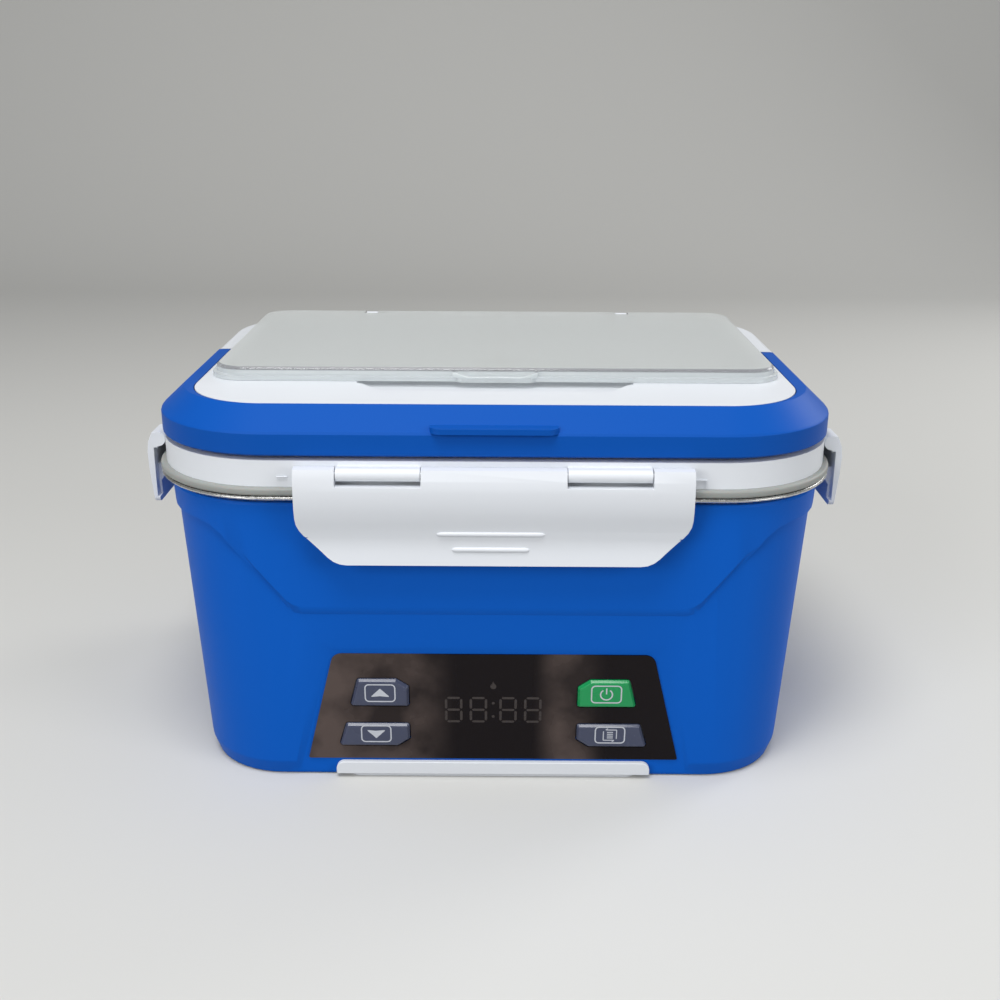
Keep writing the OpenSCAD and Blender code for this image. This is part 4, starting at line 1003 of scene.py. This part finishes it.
class LUNCHBOX_OT_cover(Piece, bpy.types.Operator):
    """Frosted clear cover over the tray, and the curled lip of its finger tab"""
    bl_idname = "lunchbox.cover"
    bl_label = "Clear cover"

    def execute(self, context):
        dress("top_cover", "clear_cover", "frosted", "cover", "frosted_clear", share=0.6)
        # The tab's half width, and half of its flat middle, then its sides. Towards its ends
        # it is drawn in and curls up.
        half, flat, front, back, low, high = 15.3, 8.5, 46.25, 43.35, 143.78, 144.25
        drawn_in, curl, steps = 1.3, 1.9, 32
        rings = []
        for k in range(steps + 1):
            x = half * (2 * k / steps - 1)
            end = max(0.0, (abs(x) - flat) / (half - flat))
            y, z = -front + drawn_in * end ** 3, high + curl * end ** 2
            rings.append([Vector(p) * MM for p in (
                (x, -back, low), (x, y, low), (x, y, z - 0.35), (x, y + 0.15, z - 0.1),
                (x, y + 0.4, z), (x, -back, z - 0.1))])
        bm = bmesh.new()
        skin(bm, rings)
        build("cover_finger_tab", bm, 45, "frosted", "cover", "frosted_clear")
        return {"FINISHED"}


def by_slot(centre):
    """Whether an edge of a latch bounds one of the slots that its hinge lugs fill."""
    slot_low, long_reach, short_reach, long_latch_y = 119.8, 60.0, 45.0, 80.0
    x, y, z = centre
    on_long = abs(y) > long_latch_y
    along, reach = (abs(x), long_reach) if on_long else (abs(y), short_reach)
    return z > slot_low and along < reach


class LUNCHBOX_OT_latches(Piece, bpy.types.Operator):
    """The four latches, with two grip ridges on each long one"""
    bl_idname = "lunchbox.latches"
    bl_label = "Latches"

    def execute(self, context):
        size = sizes()
        for side in ("front", "rear", "left", "right"):
            dress(f"latch_{side}", f"latch_plate_{side}", "white", f"{side}_latch",
                  "white_plastic", spared=by_slot)
        # Middle of the upper and the lower ridge: sideways, and out from the box's middle.
        upper, lower, upper_z = (-1.0, 92.33), (-1.1, 91.98), 101.2
        tree = ridge_tree()
        for side, way in (("front", -1), ("rear", 1)):
            points = [(x, way * y, z) for (x, y), z in (
                (upper, upper_z), (lower, upper_z - size.ridge_gap / MM))]
            grow(f"grip_ridges_{side}", tree, points, "white", f"{side}_latch", "white_plastic",
                 Length=size.ridge_length / MM, Radius=size.ridge_radius / MM)
        return {"FINISHED"}


class LUNCHBOX_OT_fasteners(Piece, bpy.types.Operator):
    """Screws of the base, the heat shield and the control board, and the hinge pins"""
    bl_idname = "lunchbox.fasteners"
    bl_label = "Screws and pins"

    def execute(self, context):
        tree = screw_tree()
        # The solid that they replace, the head's radius and height, the shank's radius and
        # length, and the places on the right side.
        kinds = {"plate_screws": ("base_screws", 2.7, 1.6, 1.5, 14, ((78, -44), (86, 0), (78, 44))),
                 "shield_screws": ("liner_screws", 3.0, 1.8, 1.5, 8, ((66, -52), (66, 52)))}
        for name, (node, head_r, head_h, shank_r, shank_h, places) in kinds.items():
            under_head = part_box(node)[0][2] / MM + head_h
            points = [(side * x, y, under_head) for side in (-1, 1) for x, y in places]
            grow(name, tree, points, "screw steel", "base", "fastener_steel", [node],
                 Head_radius=head_r, Head_height=head_h, Shank_radius=shank_r,
                 Shank_length=shank_h)
        coat("screw steel", "board_screws", "latch_pins", "handle_pins", "cover_pins", "battery_links")
        return {"FINISHED"}


class LUNCHBOX_OT_inside(Piece, bpy.types.Operator):
    """Liner, heater, battery, boards and power inlet"""
    bl_idname = "lunchbox.inside"
    bl_label = "Inside parts"

    def execute(self, context):
        coat("inner white", "inner_liner")
        coat("aluminium", "heating_plate")
        coat("heater case", "ptc_heater")
        coat("sheet steel", "heat_shield", "heater_clamp")
        coat("black", "thermostat", "battery_tray", "display_module", "key_switches")
        coat("ceramic", "thermal_fuse")
        coat("board", "power_board", "control_board")
        coat("brass", "inlet_pins")
        dress("power_inlet", "mains_socket", "black", "base", "black_plastic", share=0.5)
        (x, y, z), (half_length, half_row, radius) = middle("battery_cells")
        count = 4
        first, pitch = y - half_row + radius, 2 * (half_row - radius) / (count - 1)
        places = [(x, first + k * pitch, z) for k in range(count)]
        grow("round_cells", cell_tree(), places, "cell wrap", "base", "cell_wrap",
             ["battery_cells"], Radius=radius, Length=2 * half_length)
        return {"FINISHED"}


class LUNCHBOX_OT_stage(Piece, bpy.types.Operator):
    """Floor, backdrop, lights and camera"""
    bl_idname = "lunchbox.stage"
    bl_label = "Stage"

    def execute(self, context):
        scene = context.scene
        self.paper()
        # Place, point aimed at, width in metres and power in watts of each lamp.
        lamps = {"overhead_softbox": ((-0.15, -0.45, 1.3), (0, 0, 0.1), 0.7, 11.0),
                 "front_left_softbox": ((-1.0, -1.2, 0.7), (0, 0, 0.08), 0.9, 9.8),
                 "front_right_fill": ((1.2, -0.9, 0.6), (0, 0, 0.08), 0.8, 6.3),
                 "rear_right_window": ((1.0, 0.6, 0.65), (0, 0, 0.1), 0.5, 4.0)}
        for name, (place, aim, width, power) in lamps.items():
            light = bpy.data.lights.new(name, "AREA")
            light.shape, light.size, light.energy = "DISK", width, power
            lamp = link(name, light)
            lamp.location = place
            lamp.rotation_euler = (Vector(aim) - Vector(place)).to_track_quat("-Z", "Y").to_euler()
        world = bpy.data.worlds.new("Soft studio")
        world.use_nodes = True
        tree = world.node_tree
        tree.nodes.clear()
        sky = add(tree, "ShaderNodeBackground", {"Color": (1, 1, 1), "Strength": 0.28})
        add(tree, "ShaderNodeOutputWorld", {"Surface": sky})
        scene.world = world
        scene.view_settings.view_transform = "Standard"
        self.camera(scene)
        return {"FINISHED"}

    def paper(self):
        """A sheet that lies on the floor and bends up into a backdrop, in metres."""
        near, far, top, half_width, bend, steps = -3.0, 1.6, 3.0, 3.5, 0.6, 12
        turns = [k * math.pi / 2 / steps for k in range(steps + 1)]
        curve = [(far - bend + bend * math.sin(t), bend - bend * math.cos(t)) for t in turns]
        bm = bmesh.new()
        rows = [[bm.verts.new((x, y, z)) for x in (-half_width, half_width)]
                for y, z in [(near, 0.0), *curve, (far, top)]]
        for a, b in zip(rows, rows[1:]):
            bm.faces.new((a[0], a[1], b[1], b[0]))
        floor = from_bmesh("studio_paper", bm, 80)
        floor.data.materials.append(material("floor"))

    def camera(self, scene):
        """The camera of the photo, as its perspective gives it."""
        down, roll, focal_widths = math.radians(19.12), math.radians(0.35), 1.2
        place = (0.002, -0.469, 0.244)
        data = bpy.data.cameras.new("photo_camera")
        data.lens = focal_widths * data.sensor_width
        scene.camera = link("photo_camera", data)
        turn = Matrix.Rotation(math.pi / 2 - down, 4, "X") @ Matrix.Rotation(roll, 4, "Z")
        scene.camera.matrix_world = Matrix.Translation(place) @ turn


class LUNCHBOX_PT_panel(bpy.types.Panel):
    """Lists the pieces and their settings"""
    bl_label = "Lunch box"
    bl_idname = "LUNCHBOX_PT_panel"
    bl_space_type = "VIEW_3D"
    bl_region_type = "UI"
    bl_category = "Lunch box"

    def draw(self, context):
        column = self.layout.column()
        for group in (context.scene.lunch_box_sizes, context.scene.lunch_box_colours):
            for key in group.bl_rna.properties.keys():
                if key not in ("rna_type", "name"):
                    column.prop(group, key)
        for step in STEPS:
            column.operator(step.bl_idname)


STEPS = (LUNCHBOX_OT_stage, LUNCHBOX_OT_shell, LUNCHBOX_OT_panel, LUNCHBOX_OT_keys, LUNCHBOX_OT_lid,
         LUNCHBOX_OT_seal, LUNCHBOX_OT_container, LUNCHBOX_OT_handle, LUNCHBOX_OT_cover,
         LUNCHBOX_OT_latches, LUNCHBOX_OT_fasteners, LUNCHBOX_OT_inside)
CLASSES = (LunchBoxColours, LunchBoxSizes, *STEPS, LUNCHBOX_PT_panel)


def register():
    for cls in CLASSES:
        bpy.utils.register_class(cls)
    bpy.types.Scene.lunch_box_colours = bpy.props.PointerProperty(type=LunchBoxColours)
    bpy.types.Scene.lunch_box_sizes = bpy.props.PointerProperty(type=LunchBoxSizes)


def unregister():
    del bpy.types.Scene.lunch_box_sizes
    del bpy.types.Scene.lunch_box_colours
    for cls in reversed(CLASSES):
        bpy.utils.unregister_class(cls)


def main():
    register()
    for step in STEPS:
        group, name = step.bl_idname.split(".")
        getattr(getattr(bpy.ops, group), name)()


if __name__ == "__main__":
    main()
